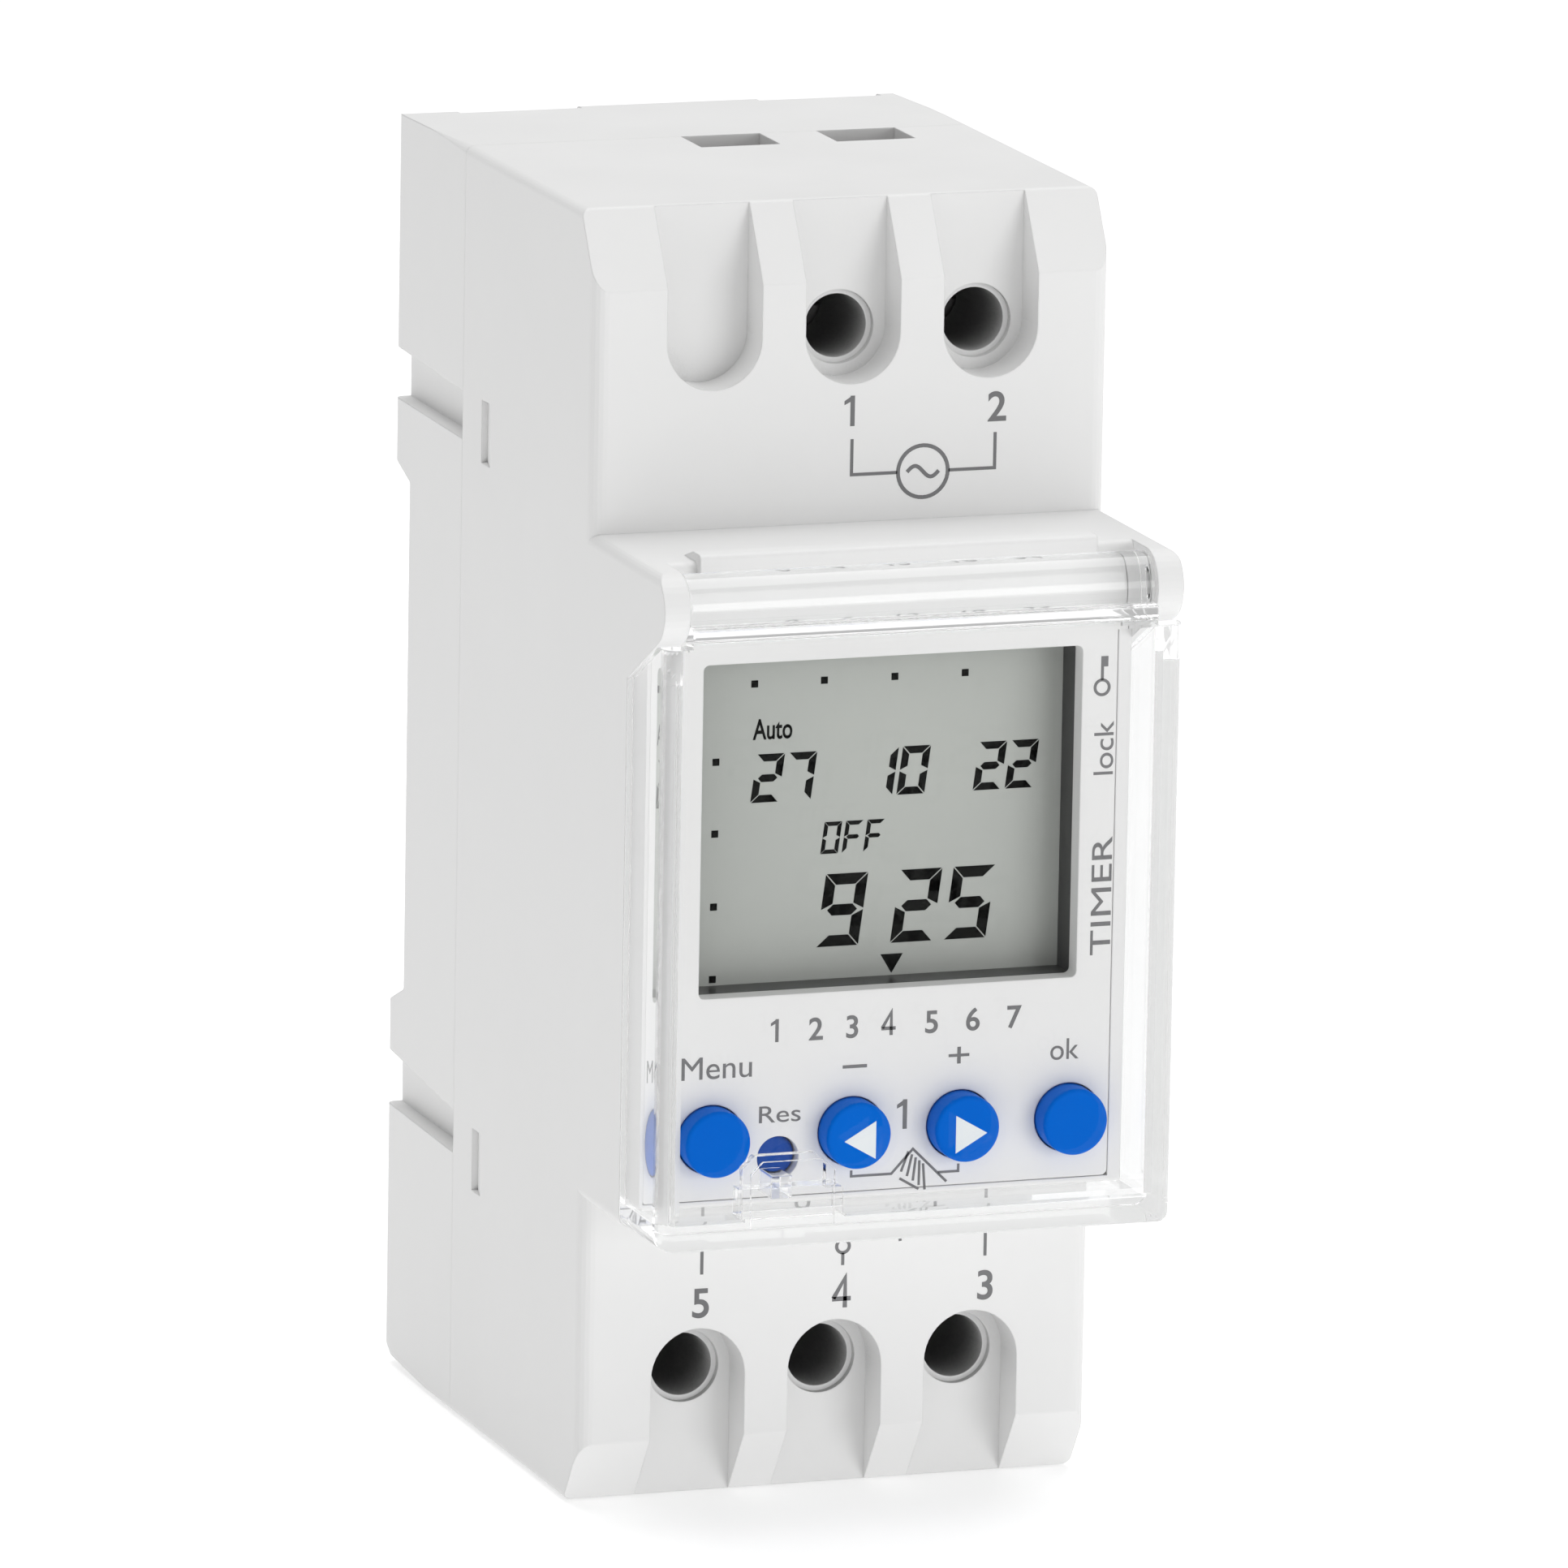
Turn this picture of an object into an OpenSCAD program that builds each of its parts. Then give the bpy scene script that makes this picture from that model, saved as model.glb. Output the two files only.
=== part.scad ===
// Two-module digital time switch for a 35 mm mounting rail.
// +X is right as seen from the front, -Y is the front and +Z is up.
// The origin is the middle of the rail seat, on the face that bears on the rail.

/* [Body] */
// Width of the housing, two modules
body_w = 36; // [35.5:0.1:44]
// Height of the housing
body_h = 87.6; // [86:0.2:106]
// Depth from the rail seat to the terminal faces
term_depth = 39.5; // [38:0.5:48]
// Depth from the terminal faces to the face of the cover
front_rise = 15.5; // [15:0.1:19]
// Depth from the rail seat to the seam between the shells
seam_depth = 12; // [11:0.2:13]
// Depth of the lips behind the rail seat
lip_depth = 3.6; // [3.2:0.1:4.5]
// Height of the raised front
front_h = 45; // [44:0.2:46]
// Height of the rail's middle above the middle of the front
rail_rise = 0.8; // [0:0.1:1]
// Thickness of the housing walls
wall = 1.6; // [1.3:0.1:1.9]
// Rounding of the long outer edges
edge_r = 1; // [0.4:0.1:1.2]
// How far each side leans in over the rear shell
side_draft = 0.3; // [0:0.05:0.4]
// How far the top and the bottom lean in over the rear shell
end_draft = 0.6; // [0:0.1:0.8]

/* [Rail] */
// Height of the mounting rail
rail_h = 35; // [34.8:0.1:35.3]
// Spare room in the recess for the rail, on each edge
rail_gap = 0.2; // [0.1:0.05:0.4]
// Thickness of the rail's flanges
rail_t = 1; // [1:0.1:1.5]
// How far the hooks and the clip reach over the flanges
hook_reach = 1.3; // [1:0.1:1.6]
// Width of the rail clip
clip_w = 12; // [9:0.5:14]
// Travel of the rail clip
clip_travel = 3; // [2:0.1:3.5]
// Height of the grooves along the sides of the rear shell
groove_h = 3.4; // [3:0.1:3.8]
// Depth of those grooves
groove_d = 1.4; // [1:0.1:1.6]
// Distance of the grooves from the middle of the rail
groove_off = 24.7; // [24:0.1:25]

/* [Terminals] */
// Distance between neighbouring terminals
term_pitch = 9.65; // [9.4:0.05:10.4]
// Distance of the screw axes from the top and bottom faces
screw_inset = 8.7; // [8:0.1:9]
// Width of the screw channels
channel_w = 6.6; // [6:0.1:7]
// Depth of the screw channels below the terminal faces
channel_d = 3.1; // [2.5:0.1:3.5]
// Height of the bevel at the ends of the terminal faces
bevel_h = 4.9; // [4:0.1:6]
// Bore of the screwdriver guides
guide_d = 4.3; // [4:0.1:4.5]
// Diameter of the screw heads
head_d = 5; // [4.6:0.1:5.1]
// Diameter of the screw threads
thread_d = 3; // [2.5:0.1:3.2]
// Room for a wire in an open clamp
wire_gap = 4; // [3.4:0.1:4.2]
// How far a clamp closes
clamp_travel = 3.2; // [2:0.1:3.3]
// Width of the wire openings
wire_w = 5.6; // [5:0.1:6]
// Depth of the wire openings in front of the seam
wire_d = 4.3; // [4.1:0.1:4.5]

/* [Front panel] */
// Width of the front panel
panel_w = 30.5; // [30:0.1:30.8]
// Distance from the panel to the bottom of the raised front
panel_low = 2.1; // [1.9:0.1:2.5]
// Distance from the panel to the top of the raised front
panel_high = 1.2; // [1:0.1:2]
// Thickness of the front panel
panel_t = 1.4; // [1.2:0.1:1.6]
// Distance from the panel to the face of the cover
panel_deep = 5.2; // [4.9:0.1:5.6]
// Width of the display window
window_w = 26.4; // [24:0.2:26.6]
// Height of the display window
window_h = 22.4; // [20:0.2:22.6]
// Middle of the display window, left of the middle of the front
window_left = 0.4; // [0:0.1:0.5]
// Middle of the display window above the middle of the front
window_up = 4.4; // [4:0.1:4.4]
// Depth of the display glass below the panel's face
display_deep = 3.7; // [3.4:0.1:4]

/* [Buttons] */
// Diameter of the large buttons
button_d = 4.5; // [4:0.1:4.6]
// Diameter of the reset button
reset_d = 2.7; // [2.2:0.1:3]
// How far the large buttons stand out
button_out = 1.7; // [1:0.1:2]
// How far the reset button lies below the panel
reset_in = 0.6; // [0.2:0.1:0.8]
// Distance between the buttons on the right
button_pitch = 7.6; // [7:0.1:7.7]
// Height of the button row above the panel's bottom edge
button_row = 4.1; // [4:0.1:4.6]

/* [Cover] */
// Thickness of the front of the cover
cover_t = 1.5; // [1.2:0.1:1.7]
// Thickness of the sides of the cover
cover_side = 1.5; // [1.2:0.1:1.6]
// Depth of the cover's sides
cover_deep = 7.8; // [7.2:0.1:8.2]
// Radius of the hinge bar
bar_r = 2.2; // [1.8:0.1:2.25]
// Thickness of the hinge ears
ear_t = 1.8; // [1.6:0.1:2]
// Diameter of the hinge pins
pin_d = 1.5; // [1.2:0.1:1.8]
// Depth of the hinge axis below the face of the cover
hinge_deep = 2.8; // [2.7:0.1:3.1]
// Distance of the hinge axis below the top of the raised front
hinge_low = 2.4; // [2.4:0.05:2.6]

/* [Fits] */
// Gap between pieces that stay together
fit = 0.1; // [0.05:0.05:0.15]
// Gap all round a pin or a screw in its bore
running = 0.05; // [0.03:0.01:0.08]

/* [Hidden] */

white = [0.93, 0.93, 0.92];
blue = [0.04, 0.36, 0.82];
black = [0.08, 0.08, 0.09];
board_green = [0.1, 0.38, 0.22];
steel = [0.72, 0.73, 0.75];
copper = [0.78, 0.5, 0.3];

half_w = body_w / 2;
mid_z = -rail_rise;
top_z = mid_z + body_h / 2;
bottom_z = mid_z - body_h / 2;
front_top = mid_z + front_h / 2;
front_bottom = mid_z - front_h / 2;
term_y = -term_depth;
cover_y = -(term_depth + front_rise);
seam_y = -seam_depth;
bevel_d = channel_d;

// Levels through the raised front
panel_y = cover_y + panel_deep;
panel_back = panel_y + panel_t;
ledge_t = 1;
shelf_y = panel_back + ledge_t;
cover_edge_y = cover_y + cover_deep;
box_half = half_w - cover_side - fit;
box_bottom = front_bottom + cover_side + fit;
box_wall = 1;
hinge_y = cover_y + hinge_deep;
hinge_z = front_top - hinge_low;
ear_in = half_w - ear_t;
ear_r = hinge_low;
pin_skin = 0.45;
stop_h = 0.6;
slant_low = 8;

// Panel, display and boards
panel_bottom = front_bottom + panel_low;
panel_top = front_top - panel_high;
button_z = panel_bottom + button_row;
button_x = [-panel_w / 2 + 2.65, -7.9, -2.8, -2.8 + button_pitch, -2.8 + 2 * button_pitch];
reset_z = button_z - 1.5;
glass_y = panel_y + display_deep;
glass_t = 1.8;
glass_side = 0.9;
glass_end = 1.2;
frame_side = 0.35;
frame_end = 0.7;
glass_w = window_w + 2 * glass_side;
glass_h = window_h + 2 * glass_end;
strip_t = 1.7;
board_t = 1.6;
board_y = glass_y + glass_t + strip_t;
board_back = board_y + board_t;
mat_t = 0.6;
dome_h = 1.8;
dome_y = board_y - mat_t - dome_h;
flange_t = 0.7;
flange_out = 0.4;
window_x = -window_left;
window_z = mid_z + window_up;
board_half = half_w - wall - 0.3;
board_low = front_bottom + wall + 0.3;
board_high = front_top - wall - 0.3;
frame_top = window_z + glass_h / 2 + frame_end;
frame_bottom = window_z - glass_h / 2 - frame_end;
post_d = 3.2;
pilot_d = 1.6;
post_x = box_half - 2.4;
post_high = frame_top + 0.2 + post_d / 2;
post_low = (frame_bottom + button_z + 2.6) / 2;

// Power board in the rear shell
floor_y = -wall;
power_gap = 1.8;
power_back = floor_y - power_gap;
power_y = power_back - board_t;
power_end = body_h / 2 - 9.8;
power_half = half_w - groove_d - wall - 0.5;
power_post = [power_half - 2.2, 24];

// Terminals, measured outwards from the middle of the height
screw_w = body_h / 2 - screw_inset;
bar_t = 1;
bar_y = seam_y - wire_d - bar_t;
clamp_w = 7.4;
clamp_len = 6.5;
clamp_wall = 0.8;
nut_t = 1.8;
clamp_back = bar_y + bar_t + wire_gap;
nut_gap = 1.2;
nut_y = bar_y - nut_gap - nut_t;
head_t = 2.2;
head_y = nut_y - clamp_travel - 0.8 - head_t;
tip_gap = 0.05;
guide_wall = 1.1;

floor_term = term_y + channel_d;
tops = [1, 2];
lows = [0, 1, 2];
terminals = [for (i = tops) [i, 1], for (i = lows) [i, -1]];

// Rail clip
clip_floor = 0.4;
clip_base_t = 1.4;
clip_back = 3;
clip_side = 0.9;
clip_top = -rail_h / 2 + hook_reach - 0.1;
clip_bottom = bottom_z + 0.4;
spring_low = -36.4;
peg_h = 1.6;
window_low = spring_low - peg_h - fit;
spring_high = -27;
spring_d = 1.7;
spring_wire = 0.32;
clip_window_w = 3;

function unit(v) = v / norm(v);
function term_x(i) = (i - 1) * term_pitch;

// Points round a corner of an outline, on an arc that touches both of its sides
function corner(a, b, c, r, n = 5) =
    let (u = unit(a - b), v = unit(c - b), half = acos(u * v) / 2)
    let (m = b + unit(u + v) * r / sin(half), s = b + u * r / tan(half) - m, e = b + v * r / tan(half) - m)
    let (w = 180 - 2 * half)
    [for (k = [0:n]) m + (s * sin(w * (1 - k / n)) + e * sin(w * k / n)) / sin(w)];

// An outline whose corners are rounded, each point given as [x, y, radius]
function rounded(p) = [for (i = [0:len(p) - 1])
    let (a = p[(i + len(p) - 1) % len(p)], b = p[i], c = p[(i + 1) % len(p)])
    each (b[2] > 0 ? corner([a[0], a[1]], [b[0], b[1]], [c[0], c[1]], b[2]) : [[b[0], b[1]]])];

// An upright outline, given as [y, z], drawn across the width
module across(x0, x1, pts) {
    translate([x0, 0, 0]) rotate([90, 0, 90]) linear_extrude(x1 - x0) polygon(pts);
}

// An outline seen from the front, given as [x, z], drawn through the depth
module through(y0, y1, pts) {
    translate([0, y1, 0]) rotate([90, 0, 0]) linear_extrude(y1 - y0) polygon(pts);
}

// An outline seen from above, given as [x, y], drawn through the height
module upright(z0, z1, pts) {
    translate([0, 0, z0]) linear_extrude(z1 - z0) polygon(pts);
}

module block(x0, x1, y0, y1, z0, z1) {
    translate([x0, y0, z0]) cube([x1 - x0, y1 - y0, z1 - z0]);
}

// A round bar along the depth
module bar_y_axis(x, z, y0, y1, d, fn = 48) {
    translate([x, y1, z]) rotate([90, 0, 0]) cylinder(h = y1 - y0, d = d, $fn = fn);
}

// A round bar across the width
module bar_x_axis(y, z, x0, x1, d, fn = 64) {
    translate([x0, y, z]) rotate([0, 90, 0]) cylinder(h = x1 - x0, d = d, $fn = fn);
}

function box_outline(x, z0, z1, r) = rounded([[-x, z0, r], [x, z0, r], [x, z1, r], [-x, z1, r]]);

// ---- Front shell ----

// Side view of the part of the front shell that holds the terminals
term_outline = rounded([
    [seam_y, bottom_z, 0], [seam_y, top_z, 0],
    [term_y + bevel_d, top_z, 0.35], [term_y, top_z - bevel_h - 0.2, 0.3],
    [term_y, bottom_z + bevel_h - 0.4, 0.3], [term_y + bevel_d, bottom_z, 0.35]]);

// Side view of one side of the raised front, with the hinge ear at its top
ear_foot_y = hinge_y - 0.9;
ear_steps = 14;
ear_from = 90;
ear_to = 245;
ear_outline = [
    [term_y + wall, front_top],
    for (k = [0:ear_steps]) let (a = ear_from + (ear_to - ear_from) * k / ear_steps)
        [hinge_y + ear_r * cos(a), hinge_z + ear_r * sin(a)
            + (k == 0 ? front_top - hinge_z - ear_r : 0)],
    [cover_edge_y, front_top - slant_low],
    [cover_edge_y, front_bottom], [term_y + wall, front_bottom]];

module front_block() {
    intersection() {
        across(-half_w, half_w, term_outline);
        upright(bottom_z, top_z, rounded([[-half_w, seam_y, 0], [half_w, seam_y, 0],
            [half_w, term_y, edge_r], [-half_w, term_y, edge_r]]));
        through(term_y, seam_y, box_outline(half_w, bottom_z, top_z, edge_r * 0.6));
    }
    intersection() {
        union() {
            for (s = [-1, 1]) across(s < 0 ? -half_w : ear_in, s < 0 ? -ear_in : half_w, ear_outline);
            block(-half_w, half_w, cover_edge_y, term_y + wall, front_bottom, front_top);
            across(-ear_in, ear_in, rounded([[term_y + wall, front_top, 0], [panel_y, front_top, 0.5],
                [panel_y, box_bottom, 0.3], [cover_edge_y, box_bottom, 0],
                [cover_edge_y, front_bottom, 0], [term_y + wall, front_bottom, 0]]));
        }
        through(cover_y, term_y + wall, box_outline(half_w, front_bottom, front_top, edge_r * 0.7));
    }
    // The raised rib that stops the open cover
    across(-half_w + 3.8, half_w - 4.6, rounded([[panel_y + 2.6, front_top - 1, 0],
        [panel_y + 2.6, front_top, 0], [panel_y + 0.8, front_top + stop_h, 0.5],
        [panel_y - 0.7, front_top + stop_h, 0.35], [panel_y - 0.7, front_top - 0.6, 0],
        [panel_y - 0.3, front_top - 1.2, 0], [panel_y, front_top - 1.6, 0],
        [panel_y + 1, front_top - 1.6, 0]]));
}

module front_hollow() {
    in_half = half_w - wall;
    across(-in_half, in_half, [[seam_y + 1, bottom_z + wall], [seam_y + 1, top_z - wall],
        [term_y + bevel_d + wall * 0.6, top_z - wall], [term_y + wall, top_z - bevel_h - wall * 0.6],
        [term_y + wall, bottom_z + bevel_h + wall * 0.6],
            [term_y + bevel_d + wall * 0.6, bottom_z + wall]]);
    block(-in_half, in_half, cover_edge_y + wall, term_y + wall + 1,
        front_bottom + wall, front_top - wall);
    block(-box_half + box_wall, box_half - box_wall, shelf_y, cover_edge_y + wall + 1,
        box_bottom + box_wall, front_top - wall);
}

// One terminal's place, with the outward direction turned to the top
module at_terminal(i, s) {
    translate([term_x(i), 0, mid_z]) mirror([0, 0, s > 0 ? 0 : 1]) children();
}

module channel_boss() {
    intersection() {
        block(-channel_w / 2 - wall, channel_w / 2 + wall, term_y + 0.6, floor_term + wall,
            screw_w - channel_w / 2 - wall, body_h / 2 - 0.3);
        across(-half_w, half_w, [[term_y + 0.5, 0], [term_y + 0.5, body_h / 2 - bevel_h - 0.4],
            [term_y + bevel_d + 0.5, body_h / 2 - 0.3], [floor_term + wall, body_h / 2 - 0.3],
            [floor_term + wall, 0]]);
    }
}

module channel_cut() {
    block(-channel_w / 2, channel_w / 2, term_y - 1, floor_term, screw_w, body_h / 2 + 1);
    bar_y_axis(0, screw_w, term_y - 1, floor_term, channel_w, 64);
}

module guide_tube() {
    bar_y_axis(0, screw_w, floor_term, head_y + head_t + 0.4, head_d + 2 * guide_wall);
}

module guide_bore() {
    bar_y_axis(0, screw_w, floor_term - 0.5, head_y, guide_d);
    bar_y_axis(0, screw_w, floor_term - 0.5, floor_term + 0.5, guide_d + 0.7);
    bar_y_axis(0, screw_w, head_y - 0.3, head_y + head_t + 1, head_d + 2 * running);
}

module terminal_walls() {
    rib = 1;
    for (s = [-1, 1], x = [-1.5, -0.5, 0.5, 1.5])
        translate([x * term_pitch, 0, mid_z]) mirror([0, 0, s > 0 ? 0 : 1])
            block(-rib / 2, rib / 2, term_y + wall, seam_y - 0.5, screw_w - 6.4, body_h / 2 - wall);
}

snap_off = 25.1;
snap_h = 4.3;
snap_y = seam_y - 4.1;
snap_l = 2;
snap_in = 0.7;

module front_housing() {
    color(white) difference() {
        union() {
            difference() {
                front_block();
                front_hollow();
            }
            for (s = [-1, 1], i = [0, 1, 2]) at_terminal(i, s) channel_boss();
            for (t = terminals) at_terminal(t[0], t[1]) guide_tube();
            intersection() {
                terminal_walls();
                across(-half_w, half_w, term_outline);
            }
            for (s = [-1, 1], z = [post_low, post_high])
                bar_y_axis(s * post_x, z, panel_back, board_y, post_d, 32);
        }
        for (s = [-1, 1], i = [0, 1, 2]) at_terminal(i, s) channel_cut();
        for (t = terminals) at_terminal(t[0], t[1]) guide_bore();
        // Wire openings, beside the seam
        for (t = terminals) at_terminal(t[0], t[1])
            block(-wire_w / 2, wire_w / 2, seam_y - wire_d, seam_y + 1, body_h / 2 - wall - 1,
                body_h / 2 + 1);
        // Seat and opening for the front panel
        block(-panel_w / 2 - fit / 2, panel_w / 2 + fit / 2, panel_y - 1, panel_back,
            panel_bottom - fit / 2, panel_top + fit / 2);
        block(-panel_w / 2 + 0.9, panel_w / 2 - 0.9, panel_y, shelf_y + 0.5, panel_bottom + 0.9,
            panel_top - 3.4);
        block(-box_half + box_wall, box_half - box_wall, panel_back, shelf_y + 0.5,
            button_z - 3.6, button_z + 2.9);
        // Pilot holes for the board screws
        for (s = [-1, 1], z = [post_low, post_high])
            bar_y_axis(s * post_x, z, panel_back + 0.8, board_y + 1, pilot_d + 2 * running, 24);
        // Snap pockets inside the sides, with shallow ramps outside
        for (s = [0, 1], u = [-1, 1])
            translate([0, 0, mid_z + u * snap_off]) mirror([s, 0, 0]) {
                block(half_w - wall - 0.5, half_w - wall + snap_in, snap_y - snap_l, snap_y,
                    -snap_h / 2, snap_h / 2);
                upright(-snap_h / 2, snap_h / 2, [[half_w + 1, snap_y], [half_w - 0.45, snap_y],
                    [half_w, snap_y - snap_l + 0.1], [half_w + 1, snap_y - snap_l + 0.1]]);
            }
        // Bores for the hinge pins
        bar_x_axis(hinge_y, hinge_z, -half_w + pin_skin, half_w - pin_skin, pin_d + 2 * running);
    }
}

// ---- Rear shell ----

recess_half = rail_h / 2 + rail_gap;
lip_slope = 1.3;

module rear_block() {
    intersection() {
        across(-half_w, half_w, rounded([
            [seam_y, top_z, 0], [seam_y, bottom_z, 0], [lip_depth - 1.6, bottom_z + end_draft, 0.8],
            [lip_depth, bottom_z + end_draft + 0.9, 0.6],
            [lip_depth, -recess_half - lip_slope - 0.2, 1], [0, -recess_half, 0.3],
            [0, recess_half, 0.3], [lip_depth, recess_half + lip_slope - 0.2, 1],
            [lip_depth, top_z - end_draft * 0.7, 0.5]]));
        upright(bottom_z, top_z, rounded([[-half_w, seam_y, 0], [half_w, seam_y, 0],
            [half_w - side_draft, lip_depth, 0.6], [-half_w + side_draft, lip_depth, 0.6]]));
        through(seam_y, lip_depth, box_outline(half_w, bottom_z, top_z, edge_r * 0.6));
    }
}

module rear_hollow() {
    in_half = half_w - side_draft - wall;
    across(-in_half, in_half, [
        [seam_y - 1, top_z - wall - 0.2], [lip_depth - wall, top_z - wall - end_draft],
        [lip_depth - wall, recess_half + lip_slope + wall], [floor_y, recess_half + wall],
        [floor_y, -recess_half - wall], [lip_depth - wall, -recess_half - lip_slope - wall],
        [lip_depth - wall, bottom_z + wall + end_draft + 0.5], [seam_y - 1, bottom_z + wall + 0.2]]);
}

module groove(s, u, grow) {
    deep = groove_d + grow;
    lean = u < 0 ? 0.5 : 0.15;
    y0 = grow > 0 ? seam_y : seam_y - 1;
    y1 = grow > 0 ? lip_depth - 1 : lip_depth + 1;
    translate([s * half_w, 0, u * groove_off])
        across(s < 0 ? -1 : -deep, s < 0 ? deep : 1, [[y0, -groove_h / 2 - grow],
            [y1, -groove_h / 2 - grow],
            [y1, groove_h / 2 + grow + lean], [y0, groove_h / 2 + grow - lean]]);
}

// A hook that reaches over the rail's upper flange
module rail_hook(x) {
    hook_w = 6;
    reach_z = rail_h / 2 - hook_reach;
    across(x - hook_w / 2, x + hook_w / 2, [
        [rail_t + 0.2, reach_z], [lip_depth - 1.1, reach_z + 0.5], [lip_depth, reach_z + 1.8],
        [lip_depth, recess_half + lip_slope + 1], [rail_t + 0.2, recess_half + lip_slope + 1]]);
}

// The tongue that holds the two shells together
module snap_tongue(s, u) {
    tongue_t = 1.1;
    x_out = half_w - wall - fit;
    translate([0, 0, mid_z + u * snap_off]) mirror([s > 0 ? 0 : 1, 0, 0]) {
        block(x_out - tongue_t, x_out, snap_y - snap_l - 0.4, seam_y + 2, -snap_h / 2 + fit,
            snap_h / 2 - fit);
        block(x_out - tongue_t - 0.9, half_w - side_draft - 0.4, seam_y, seam_y + 2,
            -snap_h / 2 + fit, snap_h / 2 - fit);
        upright(-snap_h / 2 + fit, snap_h / 2 - fit, [[x_out - 0.2, snap_y - snap_l + fit],
            [x_out, snap_y - snap_l + fit], [x_out + snap_in, snap_y - fit - 0.6],
            [x_out + snap_in, snap_y - fit], [x_out - 0.2, snap_y - fit]]);
    }
}

module clip_boss() {
    block(-clip_w / 2 - 1.8, clip_w / 2 + 1.8, clip_floor - wall, lip_depth - 0.8,
        bottom_z + 1.2, -recess_half - 0.4);
}

module clip_slot() {
    gap = fit;
    block(-clip_w / 2 - gap, clip_w / 2 + gap, clip_floor, clip_floor + clip_base_t + 2 * gap,
        bottom_z - 2, -recess_half + 0.6);
    block(-clip_w / 2 + clip_side - gap, clip_w / 2 - clip_side + gap, clip_floor, lip_depth + 1,
        bottom_z - 2, -recess_half + 1);
}

module rear_body() {
    difference() {
        union() {
            difference() {
                rear_block();
                difference() {
                    rear_hollow();
                    for (s = [-1, 1], u = [-1, 1]) groove(s, u, wall);
                }
            }
            intersection() {
                clip_boss();
                rear_block();
            }
            for (x = [-half_w + 5.5, half_w - 5.5]) rail_hook(x);
            for (s = [-1, 1], u = [-1, 1]) snap_tongue(s, u);
            for (s = [-1, 1], u = [-1, 1])
                bar_y_axis(s * power_post[0], u * power_post[1] + mid_z, power_back,
                    lip_depth - wall / 2, 4.4, 32);
        }
        for (s = [-1, 1], u = [-1, 1]) groove(s, u, 0);
        clip_slot();
        for (s = [-1, 1], u = [-1, 1])
            bar_y_axis(s * power_post[0], u * power_post[1] + mid_z, power_back - 1, power_back + 4,
                pilot_d + 2 * running, 24);
        // Bevelled notches in the top edge at the back
        for (x = [[-half_w + 4.3, -half_w + 13], [half_w - 10.2, half_w - 1.4]])
            across(x[0], x[1], [[lip_depth - 1.2, top_z + 1], [lip_depth - 1.2, top_z - end_draft],
                [lip_depth + 0.1, top_z - end_draft - 0.8], [lip_depth + 1, top_z - end_draft - 0.8],
                [lip_depth + 1, top_z + 1]]);
    }
}

module rear_housing() {
    color(white) {
        rear_body();
        // Peg for the clip's spring
        block(-clip_window_w / 2 + 0.3, clip_window_w / 2 - 0.3, clip_floor - 0.4, clip_back - 0.3,
            spring_low - peg_h, spring_low);
    }
}

// ---- Rail clip ----

module rail_clip() {
    color(black) difference() {
        union() {
            block(-clip_w / 2, clip_w / 2, clip_floor + fit, clip_floor + fit + clip_base_t,
                clip_bottom, -recess_half - lip_slope - clip_travel / 2);
            across(-clip_w / 2 + clip_side, clip_w / 2 - clip_side, [
                [clip_floor + fit, clip_bottom], [clip_back, clip_bottom], [clip_back, clip_top - 1.1],
                [rail_t + 0.9, clip_top], [rail_t + 0.2, clip_top], [rail_t + 0.2, -recess_half - 0.3],
                [clip_floor + fit, -recess_half - 0.3]]);
        }
        block(-clip_window_w / 2, clip_window_w / 2, 0, lip_depth, window_low, spring_high);
        // Slot for a screwdriver blade
        block(-2.6, 2.6, clip_floor + fit + 0.8, lip_depth, bottom_z + 0.9, bottom_z + 2.3);
    }
}

spring_turns = 8;
spring_steps = 14;
spring_sides = 6;
spring_y = (clip_floor + clip_back) / 2 + 0.05;

// Points of a round wire wound about an upright axis
function coil_ring(k) =
    let (n = spring_turns * spring_steps, t = k / n, a = 360 * spring_turns * t,
        r = (spring_d - spring_wire) / 2)
    let (z = spring_low + spring_wire / 2 + t * (spring_high - spring_low - spring_wire))
    [for (j = [0:spring_sides - 1]) let (b = 360 * j / spring_sides)
        [(r + spring_wire / 2 * cos(b)) * cos(a), spring_y + (r + spring_wire / 2 * cos(b)) * sin(a),
            z + spring_wire / 2 * sin(b)]];

module clip_spring() {
    n = spring_turns * spring_steps;
    m = spring_sides;
    color(steel) polyhedron(
        points = [for (k = [0:n]) each coil_ring(k)],
        faces = [
            [for (j = [0:m - 1]) j],
            for (k = [0:n - 1], j = [0:m - 1])
                [k * m + j, (k + 1) * m + j, (k + 1) * m + (j + 1) % m, k * m + (j + 1) % m],
            [for (j = [m - 1:-1:0]) n * m + j]]);
}

// ---- Terminals ----

module terminal_clamp(i, s) {
    back = clamp_back + clamp_wall;
    low = screw_w - clamp_len / 2;
    high = screw_w + clamp_len / 2;
    color(steel) at_terminal(i, s) difference() {
        block(-clamp_w / 2, clamp_w / 2, nut_y, back, low, high);
        block(-clamp_w / 2 + clamp_wall, clamp_w / 2 - clamp_wall, nut_y + nut_t, clamp_back, low - 1,
            high + 1);
        bar_y_axis(0, screw_w, nut_y - 1, nut_y + nut_t + 1, thread_d + 2 * running);
    }
}

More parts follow.
